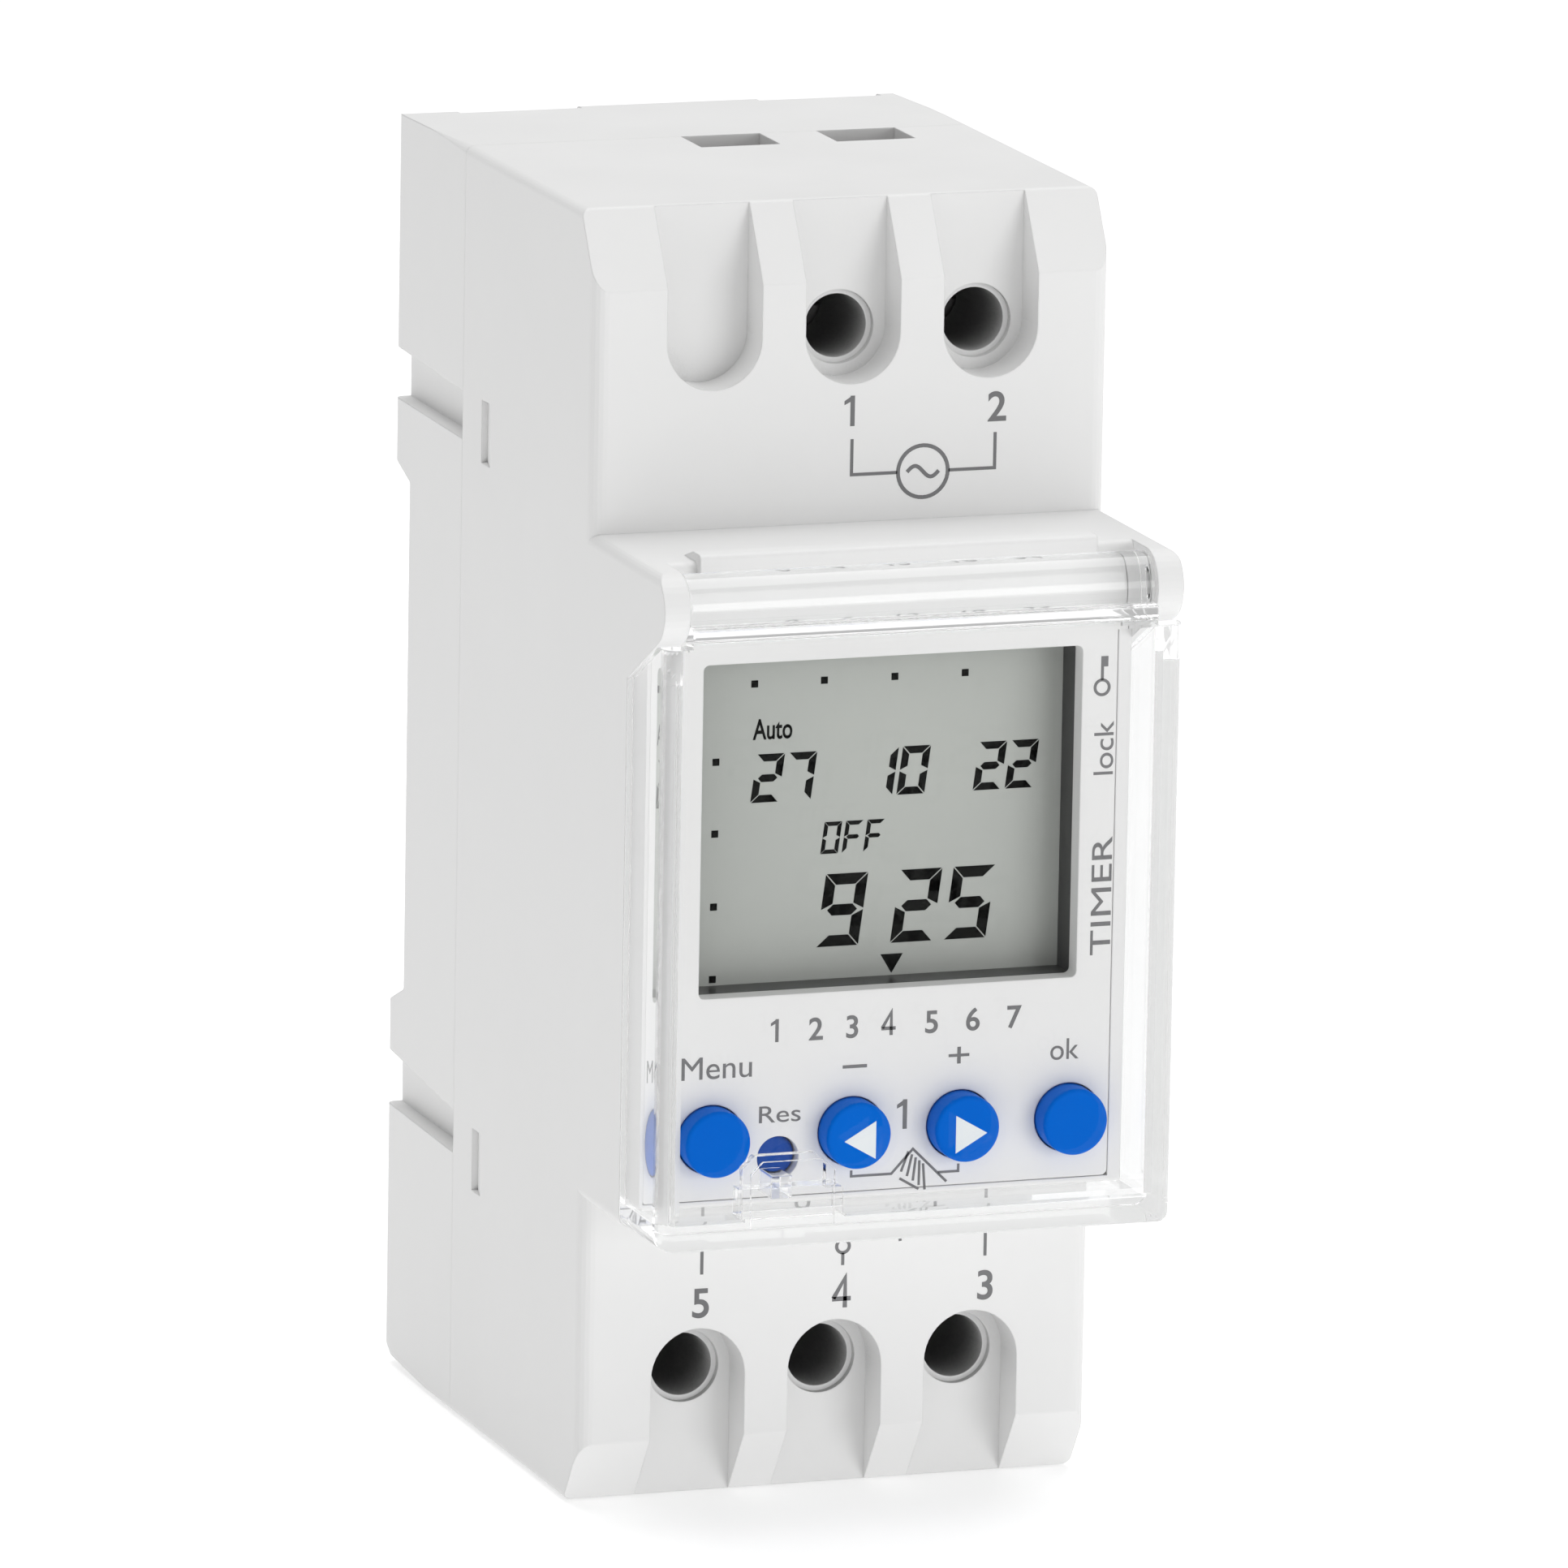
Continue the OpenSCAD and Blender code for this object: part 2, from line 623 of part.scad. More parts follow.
module terminal_screw(i, s) {
    drive_w = 0.8;
    drive_d = 1.1;
    color(steel) at_terminal(i, s) difference() {
        union() {
            bar_y_axis(0, screw_w, head_y, head_y + head_t, head_d);
            bar_y_axis(0, screw_w, head_y + head_t - 0.01, bar_y - tip_gap, thread_d);
        }
        block(-head_d, head_d, head_y - 1, head_y + drive_d, screw_w - drive_w / 2, screw_w + drive_w / 2);
        block(-head_d / 3, head_d / 3, head_y - 1, head_y + drive_d * 1.3, screw_w - drive_w / 2,
            screw_w + drive_w / 2);
        block(-drive_w / 2, drive_w / 2, head_y - 1, head_y + drive_d * 1.3, screw_w - head_d / 3,
            screw_w + head_d / 3);
    }
}

// Fixed bars that the clamps pull the wires against, each with a leg to the power board
module contact_bars() {
    bar_w = 5;
    leg_w = 3;
    foot = screw_w - clamp_len / 2 - 2;
    color(copper) for (t = terminals) at_terminal(t[0], t[1]) {
        block(-bar_w / 2, bar_w / 2, bar_y, bar_y + bar_t, foot, screw_w + clamp_len / 2 + 0.8);
        block(-leg_w / 2, leg_w / 2, bar_y, power_y, foot - bar_t, foot);
    }
}

// ---- Front panel, display and buttons ----

module face_plate() {
    r = 0.4;
    color(white) difference() {
        through(panel_y, panel_back, rounded([[-panel_w / 2, panel_bottom, r],
            [panel_w / 2, panel_bottom, r],
            [panel_w / 2, panel_top, r], [-panel_w / 2, panel_top, r]]));
        translate([window_x, 0, window_z]) through(panel_y - 1, panel_back + 1,
            box_outline(window_w / 2, -window_h / 2, window_h / 2, 0.4));
        for (k = [0, 2, 3, 4]) bar_y_axis(button_x[k], button_z, panel_y - 1, panel_back + 1,
            button_d + 2 * fit, 64);
        bar_y_axis(button_x[1], reset_z, panel_y - 1, panel_back + 1, reset_d + 2 * fit, 48);
    }
}

module display_glass() {
    color([0.72, 0.75, 0.71]) block(window_x - glass_w / 2, window_x + glass_w / 2, glass_y,
        glass_y + glass_t,
        window_z - glass_h / 2, window_z + glass_h / 2);
}

module display_frame() {
    neck = 0.7;
    color(black) difference() {
        union() {
            block(window_x - glass_w / 2 - frame_side, window_x + glass_w / 2 + frame_side,
                glass_y - 0.7, board_y,
                frame_bottom, frame_top);
            block(window_x - window_w / 2 - neck, window_x + window_w / 2 + neck, panel_back, glass_y,
                window_z - window_h / 2 - neck, window_z + window_h / 2 + neck);
        }
        block(window_x - window_w / 2, window_x + window_w / 2, panel_back - 1, glass_y + 1,
            window_z - window_h / 2, window_z + window_h / 2);
        block(window_x - glass_w / 2, window_x + glass_w / 2, glass_y, board_y + 1,
            window_z - glass_h / 2, window_z + glass_h / 2);
    }
}

// Rubber strips with conducting layers that join the glass to the board
module contact_strips() {
    strip_w = 1.5;
    color([0.35, 0.35, 0.37]) for (u = [-1, 1])
        block(window_x - glass_w / 2 + 0.6, window_x + glass_w / 2 - 0.6, glass_y + glass_t, board_y,
            window_z + u * (glass_h / 2 - strip_w / 2 - 0.1) - strip_w / 2,
            window_z + u * (glass_h / 2 - strip_w / 2 - 0.1) + strip_w / 2);
}

module button(x, z, d, face_y, stem_d) {
    flange_y = panel_back + running;
    color(blue) {
        translate([x, flange_y, z]) rotate([90, 0, 0])
            rotate_extrude($fn = 64) polygon(rounded([[0, -flange_t, 0], [d / 2 + flange_out, -flange_t, 0],
                [d / 2 + flange_out, 0, 0], [d / 2, 0, 0], [d / 2, flange_y - face_y, 0.25],
                    [0, flange_y - face_y, 0]]));
        bar_y_axis(x, z, flange_y + flange_t - 0.01, dome_y - running, stem_d, 32);
    }
}

module large_button(k) {
    button(button_x[k], button_z, button_d, panel_y - button_out, 2.2);
}

module menu_button() { large_button(0); }
module minus_button() { large_button(2); }
module plus_button() { large_button(3); }
module ok_button() { large_button(4); }
module reset_button() { button(button_x[1], reset_z, reset_d, panel_y + reset_in, 1.6); }

// Silicone mat with a dome behind each button
module key_mat() {
    dome_wall = 0.4;
    color([0.8, 0.8, 0.78]) difference() {
        union() {
            block(-box_half + box_wall + 0.3, box_half - box_wall - 0.3, board_y - mat_t, board_y,
                button_z - 3.3, button_z + 2.6);
            for (k = [0:4]) translate([button_x[k], board_y - mat_t, k == 1 ? reset_z : button_z])
                rotate([90, 0, 0]) cylinder(h = dome_h, d1 = 4.2, d2 = 2.6, $fn = 32);
        }
        for (k = [0:4]) translate([button_x[k], board_y + 0.1, k == 1 ? reset_z : button_z])
            rotate([90, 0, 0]) cylinder(h = mat_t + dome_h - dome_wall + 0.1, d1 = 3.4, d2 = 1.6, $fn = 32);
    }
}

// ---- Boards and what they carry ----

module control_board() {
    color(board_green) difference() {
        block(-board_half, board_half, board_y, board_back, board_low, board_high);
        for (s = [-1, 1], z = [post_low, post_high])
            bar_y_axis(s * post_x, z, board_y - 1, board_back + 1, pilot_d + 4 * running, 24);
    }
}

module small_screw(x, z, y, dir, reach) {
    screw_head_d = 3.2;
    screw_head_t = 1.1;
    color(steel) translate([x, y, z]) rotate([dir * 90, 0, 0]) difference() {
        union() {
            translate([0, 0, -screw_head_t]) cylinder(h = screw_head_t, d = screw_head_d, $fn = 32);
            cylinder(h = reach, d = pilot_d, $fn = 24);
        }
        for (a = [0, 90]) rotate([0, 0, a]) translate([-0.9, -0.2, -screw_head_t - 0.1]) cube([1.8,
            0.4, 0.8]);
    }
}

module board_screws() {
    for (s = [-1, 1], z = [post_low, post_high]) small_screw(s * post_x, z, board_back, 1, board_t + 3);
}

module power_board_screws() {
    for (s = [-1, 1], u = [-1, 1])
        small_screw(s * power_post[0], u * power_post[1] + mid_z, power_y, -1, board_t + 3);
}

module controller_chip() {
    chip = 10;
    leads = 11;
    color(black) block(-chip / 2 + 4, chip / 2 + 4, board_back + 0.2, board_back + 1.6, -19, -19 + chip);
    color(steel) for (s = [-1, 1], k = [0:leads - 1])
        block(4 + s * (chip / 2 + 0.35) - 0.35, 4 + s * (chip / 2 + 0.35) + 0.35, board_back,
            board_back + 0.8,
            -18.6 + k * 0.88, -18.6 + k * 0.88 + 0.4);
}

module clock_crystal() {
    x = -7;
    y = board_back + 1.6;
    color(steel) {
        translate([x, y, -17]) cylinder(h = 8, d = 3, $fn = 32);
        for (k = [-0.6, 0.6]) {
            block(x + k - 0.2, x + k + 0.2, y - 0.2, y + 0.2, -18.4, -16.5);
            block(x + k - 0.2, x + k + 0.2, board_back, y + 0.2, -18.8, -18.4);
        }
    }
}

cell_d = 20;
cell_t = 3.2;
cell_z = 6;

module cell_holder() {
    rim = 1.2;
    color(black) difference() {
        bar_y_axis(0, cell_z, board_back, board_back + cell_t, cell_d + 2 * rim, 64);
        bar_y_axis(0, cell_z, board_back + 0.8, board_back + cell_t + 1, cell_d + 2 * fit, 64);
        block(-4, 4, board_back + 0.8, board_back + cell_t + 1, cell_z + cell_d / 2 - 2,
            cell_z + cell_d / 2 + 3);
    }
}

module lithium_cell() {
    color(steel) translate([0, board_back + 0.8, cell_z]) rotate([-90, 0, 0])
        rotate_extrude($fn = 64) polygon([[0, 0], [cell_d / 2 - 1.6, 0], [cell_d / 2 - 1.6, 0.3],
            [cell_d / 2, 0.6],
            [cell_d / 2, cell_t], [0, cell_t]]);
}

// Small board on edge that joins the other two
module link_board() {
    color(board_green) block(board_half - 3.4, board_half - 2.4, board_back, power_y, -8, 4);
}

module power_board() {
    color(board_green) difference() {
        block(-power_half, power_half, power_y, power_back, mid_z - power_end, mid_z + power_end);
        for (s = [-1, 1], u = [-1, 1])
            bar_y_axis(s * power_post[0], u * power_post[1] + mid_z, power_y - 1, power_back + 1,
                pilot_d + 4 * running, 24);
    }
}

module relay() {
    relay_w = 12.7;
    relay_l = 29;
    relay_h = 15.7;
    x0 = -power_half + 0.6;
    color([0.12, 0.12, 0.14]) across(x0, x0 + relay_w, rounded([[power_y, -15, 0],
        [power_y, -15 + relay_l, 0],
        [power_y - relay_h, -15 + relay_l, 0.6], [power_y - relay_h, -15, 0.6]]));
}

module filter_capacitor() {
    color([0.85, 0.75, 0.2]) across(1.5, 8.5, rounded([[power_y, -1, 0], [power_y, 17, 0],
        [power_y - 13, 17, 0.5], [power_y - 13, -1, 0.5]]));
}

module smoothing_capacitors() {
    for (c = [[4.6, -16, 8, 12], [4.6, -7, 6.3, 11]])
        color([0.15, 0.2, 0.35]) translate([c[0], power_y, c[1]]) rotate([90, 0, 0])
            rotate_extrude($fn = 48) polygon([[0, 0], [c[2] / 2, 0], [c[2] / 2, 1.2], [c[2] / 2 - 0.3, 1.5],
                [c[2] / 2, 1.8], [c[2] / 2, c[3]], [0, c[3]]]);
}

module varistor() {
    color([0.2, 0.35, 0.6]) bar_x_axis(power_y - 6, 8, 9.1, 12.3, 9, 48);
    color(steel) for (z = [5.5, 10.5]) block(10.4, 11, power_y - 2.6, power_y, z - 0.3, z + 0.3);
}

// ---- Cover ----

tab_x = -half_w + 9.3;

// Rest of the cover that swings past the ears
module cover_shell() {
    side_top = [[cover_y, hinge_z - 2.3], [ear_foot_y - fit, hinge_z - 2.3 - fit],
        [cover_edge_y - fit, front_top - slant_low - fit], [cover_edge_y - fit, front_bottom],
            [cover_y, front_bottom]];
    intersection() {
        difference() {
            union() {
                for (s = [-1, 1])
                    across(s < 0 ? -half_w : half_w - cover_side,
                        s < 0 ? -half_w + cover_side : half_w, side_top);
                block(-half_w, half_w, cover_y, cover_y + cover_t, front_bottom, hinge_z - 2.3);
                block(-ear_in + fit, ear_in - fit, cover_y, cover_y + cover_t, front_bottom, hinge_z - 1);
                block(-half_w, half_w, cover_y, cover_edge_y - fit, front_bottom,
                    front_bottom + cover_side);
            }
            // Room to turn past the ears
            for (s = [-1, 1])
                bar_x_axis(hinge_y, hinge_z, s < 0 ? -half_w - 1 : ear_in - fit,
                    s < 0 ? -ear_in + fit : half_w + 1,
                    2 * (ear_r + 0.15));
        }
        upright(front_bottom, hinge_z, rounded([[-half_w, cover_edge_y, 0], [half_w, cover_edge_y, 0],
            [half_w, cover_y, edge_r], [-half_w, cover_y, edge_r]]));
        through(cover_y, cover_edge_y, rounded([[-half_w, front_bottom, edge_r],
            [half_w, front_bottom, edge_r],
            [half_w, hinge_z, 0], [-half_w, hinge_z, 0]]));
    }
}

module clear_cover() {
    color([0.9, 0.94, 0.96, 0.35]) {
        difference() {
            union() {
                cover_shell();
                bar_x_axis(hinge_y, hinge_z, -ear_in + fit, ear_in - fit, 2 * bar_r);
                block(-ear_in + fit, ear_in - fit, cover_y + 0.35, hinge_y, hinge_z - bar_r + 0.1,
                    hinge_z - 0.9);
                bar_x_axis(hinge_y, hinge_z, -half_w + pin_skin + fit, half_w - pin_skin - fit, pin_d);
                // Latch tab with its foot
                block(tab_x - 2.8, tab_x + 4.1, cover_y, cover_y + 3.7, front_bottom, front_bottom + 3.4);
                through(cover_y - 0.3, cover_y + 2.2, [[tab_x - 2.9, front_bottom + 1.4],
                    [tab_x + 2.9, front_bottom + 1.4],
                    [tab_x + 2.9, front_bottom + 5], [tab_x + 2.1, front_bottom + 5.8],
                    [tab_x - 2.1, front_bottom + 5.8], [tab_x - 2.9, front_bottom + 5]]);
            }
            // Slot for a seal
            block(tab_x - 1.5, tab_x - 0.1, cover_y - 1, cover_y + 3.8, front_bottom + 3.3,
                front_bottom + 4.8);
        }
    }
}

module clamp_1() { terminal_clamp(terminals[0][0], terminals[0][1]); }
module clamp_2() { terminal_clamp(terminals[1][0], terminals[1][1]); }
module clamp_3() { terminal_clamp(terminals[4][0], terminals[4][1]); }
module clamp_4() { terminal_clamp(terminals[3][0], terminals[3][1]); }
module clamp_5() { terminal_clamp(terminals[2][0], terminals[2][1]); }
module screw_1() { terminal_screw(terminals[0][0], terminals[0][1]); }
module screw_2() { terminal_screw(terminals[1][0], terminals[1][1]); }
module screw_3() { terminal_screw(terminals[4][0], terminals[4][1]); }
module screw_4() { terminal_screw(terminals[3][0], terminals[3][1]); }
module screw_5() { terminal_screw(terminals[2][0], terminals[2][1]); }

rear_housing();
front_housing();
face_plate();
clear_cover();
display_glass();
display_frame();
contact_strips();
menu_button();
reset_button();
minus_button();
plus_button();
ok_button();
key_mat();
control_board();
controller_chip();
clock_crystal();
cell_holder();
lithium_cell();
board_screws();
link_board();
power_board();
relay();
filter_capacitor();
smoothing_capacitors();
varistor();
power_board_screws();
contact_bars();
rail_clip();
clip_spring();
clamp_1();
clamp_2();
clamp_3();
clamp_4();
clamp_5();
screw_1();
screw_2();
screw_3();
screw_4();
screw_5();
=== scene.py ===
import math

import bpy
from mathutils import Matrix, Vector


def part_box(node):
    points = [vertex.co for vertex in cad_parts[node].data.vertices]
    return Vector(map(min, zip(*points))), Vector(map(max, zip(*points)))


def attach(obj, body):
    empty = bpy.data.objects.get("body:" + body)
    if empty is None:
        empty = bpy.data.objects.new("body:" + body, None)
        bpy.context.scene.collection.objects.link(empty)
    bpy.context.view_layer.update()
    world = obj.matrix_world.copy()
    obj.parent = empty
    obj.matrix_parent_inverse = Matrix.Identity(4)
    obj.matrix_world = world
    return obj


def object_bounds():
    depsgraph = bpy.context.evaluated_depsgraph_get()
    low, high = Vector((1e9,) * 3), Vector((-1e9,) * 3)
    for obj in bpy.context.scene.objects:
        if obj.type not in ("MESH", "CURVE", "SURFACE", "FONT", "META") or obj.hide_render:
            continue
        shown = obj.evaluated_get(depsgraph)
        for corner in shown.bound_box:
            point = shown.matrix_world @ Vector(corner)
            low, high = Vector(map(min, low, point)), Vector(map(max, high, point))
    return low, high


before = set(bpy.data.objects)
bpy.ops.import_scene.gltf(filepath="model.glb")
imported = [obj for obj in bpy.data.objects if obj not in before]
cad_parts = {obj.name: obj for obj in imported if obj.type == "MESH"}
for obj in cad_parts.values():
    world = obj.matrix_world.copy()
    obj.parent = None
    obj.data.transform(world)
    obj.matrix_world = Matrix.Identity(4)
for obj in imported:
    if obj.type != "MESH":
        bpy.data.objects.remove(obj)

first_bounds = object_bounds()
MM = 0.001
scene = bpy.context.scene

# The viewpoint: a long lens a little over a metre away, from the left
# and slightly above, so the left side and the top edge both show.
LENS_PLACE = (-0.35342, -1.03312, 0.23159)
LENS_TURN_DEG = (77.8161, -0.9773, -19.1489)
camera_data = bpy.data.cameras.new("camera")
camera_data.sensor_width = 36.0
camera_data.lens = 373.34
camera_data.clip_start = 0.05
camera = bpy.data.objects.new("camera", camera_data)
camera.location = LENS_PLACE
camera.rotation_euler = [math.radians(a) for a in LENS_TURN_DEG]
scene.collection.objects.link(camera)
scene.camera = camera
scene.view_settings.view_transform = "Standard"

# The rear shell: injection moulded in off-white polycarbonate blend with a
# fine spark-eroded texture, and hooked over the upper flange of the rail.
# Its edges are slightly rounded and rubbed where hands and tools reach.


def wired(tree, kind, sockets=None, **settings):
    """A shader node with its settings, input values and incoming links."""
    made = tree.nodes.new(kind)
    for key, value in settings.items():
        setattr(made, key, value)
    for key, value in (sockets or {}).items():
        if isinstance(value, bpy.types.NodeSocket):
            tree.links.new(value, made.inputs[key])
        else:
            made.inputs[key].default_value = value
    return made


def reckoned(tree, operation, *values):
    """The result of a maths node on numbers or sockets."""
    return wired(tree, "ShaderNodeMath", dict(enumerate(values)),
                 operation=operation).outputs["Value"]


def ranged(tree, value, **ends):
    """A value carried from one range to another; both are 0 to 1 unless said."""
    sockets = {key.replace("_", " "): end for key, end in ends.items()}
    return wired(tree, "ShaderNodeMapRange", {"Value": value, **sockets}).outputs["Result"]


def on_object(tree):
    """The position on the object."""
    return wired(tree, "ShaderNodeTexCoord").outputs["Object"]


def effect(name, inputs, outputs):
    """An empty node group with float inputs and the outputs that it feeds."""
    group = bpy.data.node_groups.new(name, "ShaderNodeTree")
    for label, value in inputs:
        socket = group.interface.new_socket(label, in_out="INPUT",
                                            socket_type="NodeSocketFloat")
        socket.default_value = value
    for label, kind in outputs:
        group.interface.new_socket(label, in_out="OUTPUT", socket_type=kind)
    return group, group.nodes.new("NodeGroupInput"), group.nodes.new("NodeGroupOutput")


def blended(tree, factor, first, second):
    """The colour between two colours; a colour is three numbers or a socket."""
    made = tree.nodes.new("ShaderNodeMix")
    made.data_type = "RGBA"
    tree.links.new(factor, made.inputs[0])
    for index, colour in ((6, first), (7, second)):
        if isinstance(colour, bpy.types.NodeSocket):
            tree.links.new(colour, made.inputs[index])
        else:
            made.inputs[index].default_value = (*colour, 1)
    return made.outputs[2]


def use(tree, group, **values):
    """A node that stands for the group in a material, with its inputs set."""
    made = tree.nodes.new("ShaderNodeGroup")
    made.node_tree = group
    for key, value in values.items():
        made.inputs[key].default_value = value
    return made


# spark-eroded texture: fine pits for the bump, slow drift for the tone
GRAIN_PITCH, GRAIN_DRIFT = 5200.0, 55.0
grain, taken, given = effect(
    "moulded_grain",
    [("Pitch", GRAIN_PITCH), ("Drift", GRAIN_DRIFT)],
    [("Height", "NodeSocketFloat"), ("Mottle", "NodeSocketFloat")],
)
place = on_object(grain)
pits = wired(grain, "ShaderNodeTexNoise",
             {"Vector": place, "Scale": taken.outputs["Pitch"], "Detail": 3.0, "Roughness": 0.55})
tone = wired(grain, "ShaderNodeTexNoise",
             {"Vector": place, "Scale": taken.outputs["Drift"], "Detail": 4.0, "Roughness": 0.6})
spread = ranged(grain, tone.outputs["Fac"], From_Min=0.3, From_Max=0.7)
grain.links.new(pits.outputs["Fac"], given.inputs["Height"])
grain.links.new(spread, given.inputs["Mottle"])

# softened corners: a rounded normal, and a mask that is brightest on edges
CORNER_RADIUS = 0.00015
corners, taken, given = effect(
    "rubbed_corners",
    [("Radius", CORNER_RADIUS), ("Spots", 900.0)],
    [("Normal", "NodeSocketVector"), ("Wear", "NodeSocketFloat")],
)
soft = wired(corners, "ShaderNodeBevel", {"Radius": taken.outputs["Radius"]}, samples=6)
true = wired(corners, "ShaderNodeNewGeometry")
lined_up = wired(corners, "ShaderNodeVectorMath",
                 {0: soft.outputs["Normal"], 1: true.outputs["Normal"]},
                 operation="DOT_PRODUCT")
turned = ranged(corners, lined_up.outputs["Value"], From_Min=0.99, From_Max=0.72)
spots = wired(corners, "ShaderNodeTexNoise",
              {"Vector": on_object(corners), "Scale": taken.outputs["Spots"], "Detail": 2.0})
broken = ranged(corners, spots.outputs["Fac"], From_Min=0.42, From_Max=0.62)
corners.links.new(soft.outputs["Normal"], given.inputs["Normal"])
corners.links.new(reckoned(corners, "MULTIPLY", turned, broken), given.inputs["Wear"])


ROUGH_SPREAD = 0.08


def surface(name, colour, other, worn, rough, pitch=GRAIN_PITCH, drift=GRAIN_DRIFT,
            relief=0.000008, radius=CORNER_RADIUS, **fixed):
    """A procedural material: two close tones, rubbed edges, grain and a rounded normal."""
    made = bpy.data.materials.new(name)
    made.use_nodes = True
    tree = made.node_tree
    shader = tree.nodes["Principled BSDF"]
    texture = use(tree, grain, Pitch=pitch, Drift=drift)
    edges = use(tree, corners, Radius=radius)
    tones = blended(tree, texture.outputs["Mottle"], colour, other)
    rubbed = blended(tree, edges.outputs["Wear"], tones, worn)
    gloss = ranged(tree, texture.outputs["Mottle"], To_Min=rough - ROUGH_SPREAD / 2,
                   To_Max=rough + ROUGH_SPREAD / 2)
    bump = wired(tree, "ShaderNodeBump",
                 {"Strength": 0.5, "Distance": relief, "Height": texture.outputs["Height"],
                  "Normal": edges.outputs["Normal"]})
    tree.links.new(rubbed, shader.inputs["Base Color"])
    tree.links.new(gloss, shader.inputs["Roughness"])
    tree.links.new(bump.outputs["Normal"], shader.inputs["Normal"])
    for key, value in fixed.items():
        shader.inputs[key.replace("_", " ")].default_value = value
    return made


def dress(node, material):
    """Gives a CAD node its material."""
    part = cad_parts[node]
    part.data.materials.clear()
    part.data.materials.append(material)


def overlaid(material, mask, colour):
    """Lays a colour over a material's own where the mask, a node's socket, is bright."""
    tree = material.node_tree
    base = tree.nodes["Principled BSDF"].inputs["Base Color"]
    tree.links.new(blended(tree, mask, base.links[0].from_socket, colour), base)


shell_plastic = surface("shell_plastic", (0.80, 0.80, 0.797), (0.825, 0.825, 0.822),
                        (0.89, 0.89, 0.885), 0.5, Specular_IOR_Level=0.35)

# painted shade: the deep screw tunnels and wire entries are darkened to near black inside by an
# ambient-occlusion mask, standing in for the shade that falls in them
hollow_shade_group, taken, given = effect("painted_hollow_shade", [("Reach", 0.009)],
                               [("Mask", "NodeSocketFloat")])
open_sky = wired(hollow_shade_group, "ShaderNodeAmbientOcclusion", {"Distance": taken.outputs["Reach"]},
                 samples=8, only_local=True)
hollow_shade_group.links.new(ranged(hollow_shade_group, open_sky.outputs["AO"], From_Min=0.28, From_Max=0.04),
                  given.inputs["Mask"])
# painted shade: near black laid over the shell plastic where the ambient-occlusion mask finds
# deep hollows
overlaid(shell_plastic, use(shell_plastic.node_tree, hollow_shade_group).outputs["Mask"],
         (0.06, 0.06, 0.06))
dress("rear_housing", shell_plastic)

# The sprung rail clip and its coil spring: a dark moulded slider in the
# foot of the rear shell, pushed up under the rail's lower flange by a
# spring wound from drawn steel wire.
clip_plastic = surface("clip_plastic", (0.035, 0.036, 0.04), (0.045, 0.046, 0.05),
                       (0.12, 0.12, 0.13), 0.48)
spring_steel = surface("spring_steel", (0.42, 0.42, 0.43), (0.5, 0.5, 0.51), (0.66, 0.66, 0.66),
                       0.3, pitch=9000.0, Metallic=1.0)
dress("rail_clip", clip_plastic)
dress("clip_spring", spring_steel)

# The power board lies flat in the rear shell, green solder resist over
# copper tracks, and carries the relay, the yellow film capacitor, two
# sleeved electrolytics and a blue dipped varistor. Four screws hold it.
tracks, taken, given = effect("copper_tracks", [("Pitch", 420.0)],
                              [("Mask", "NodeSocketFloat")])
cells = wired(tracks, "ShaderNodeTexVoronoi",
              {"Vector": on_object(tracks), "Scale": taken.outputs["Pitch"]},
              distance="MANHATTAN")
tracks.links.new(reckoned(tracks, "LESS_THAN", cells.outputs["Distance"], 0.62),
                 given.inputs["Mask"])

circuit_board = surface("circuit_board", (0.012, 0.10, 0.035), (0.016, 0.125, 0.045),
                        (0.35, 0.30, 0.16), 0.33, pitch=3000.0, relief=0.000004)
tree = circuit_board.node_tree
overlaid(circuit_board, reckoned(tree, "MULTIPLY", use(tree, tracks).outputs["Mask"], 0.45),
         (0.05, 0.22, 0.06))
dress("power_board", circuit_board)
dress("link_board", circuit_board)

relay_plastic = surface("relay_plastic", (0.02, 0.02, 0.024), (0.028, 0.028, 0.032),
                        (0.09, 0.09, 0.1), 0.38)
film_plastic = surface("film_plastic", (0.62, 0.42, 0.03), (0.68, 0.48, 0.05),
                       (0.8, 0.66, 0.25), 0.3)
sleeve_plastic = surface("sleeve_plastic", (0.012, 0.02, 0.06), (0.018, 0.028, 0.075),
                         (0.2, 0.22, 0.3), 0.25)
varistor_resin = surface("varistor_resin", (0.02, 0.05, 0.22), (0.03, 0.065, 0.26),
                         (0.2, 0.26, 0.45), 0.35, pitch=2500.0, relief=0.00002)
screw_steel = surface("screw_steel", (0.5, 0.5, 0.5), (0.58, 0.58, 0.575), (0.74, 0.74, 0.73),
                      0.32, pitch=7000.0, Metallic=1.0)
dress("relay", relay_plastic)
dress("filter_capacitor", film_plastic)
dress("smoothing_capacitors", sleeve_plastic)
dress("varistor", varistor_resin)
dress("power_board_screws", screw_steel)

# The terminals: copper contact bars on legs from the power board, zinc-plated
# clamps that close on the wire, and screws with a slot and a cross in their
# heads at the foot of round tunnels.
contact_copper = surface("contact_copper", (0.60, 0.33, 0.19), (0.66, 0.38, 0.23),
                         (0.80, 0.58, 0.42), 0.35, pitch=6000.0, Metallic=1.0)
clamp_steel = surface("clamp_steel", (0.46, 0.46, 0.45), (0.54, 0.54, 0.52), (0.7, 0.7, 0.68),
                      0.38, pitch=6500.0, Metallic=1.0)
dress("contact_bars", contact_copper)
for number in range(1, 6):
    dress("clamp_%d" % number, clamp_steel)
    dress("screw_%d" % number, screw_steel)

# The front shell: the same moulding as the rear one, joined to it at the
# seam, with the stepped terminal faces above and below. Terminal numbers
# and the switching diagram are pad printed on it in grey.
dress("front_housing", shell_plastic)
INK_THICK = 0.015 * MM


def carried(name, mesh, material, body):
    """An object of one material, with a mesh in the object's frame, riding on a body."""
    mesh.materials.clear()
    mesh.materials.append(material)
    made = bpy.data.objects.new(name, mesh)
    scene.collection.objects.link(made)
    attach(made, body)


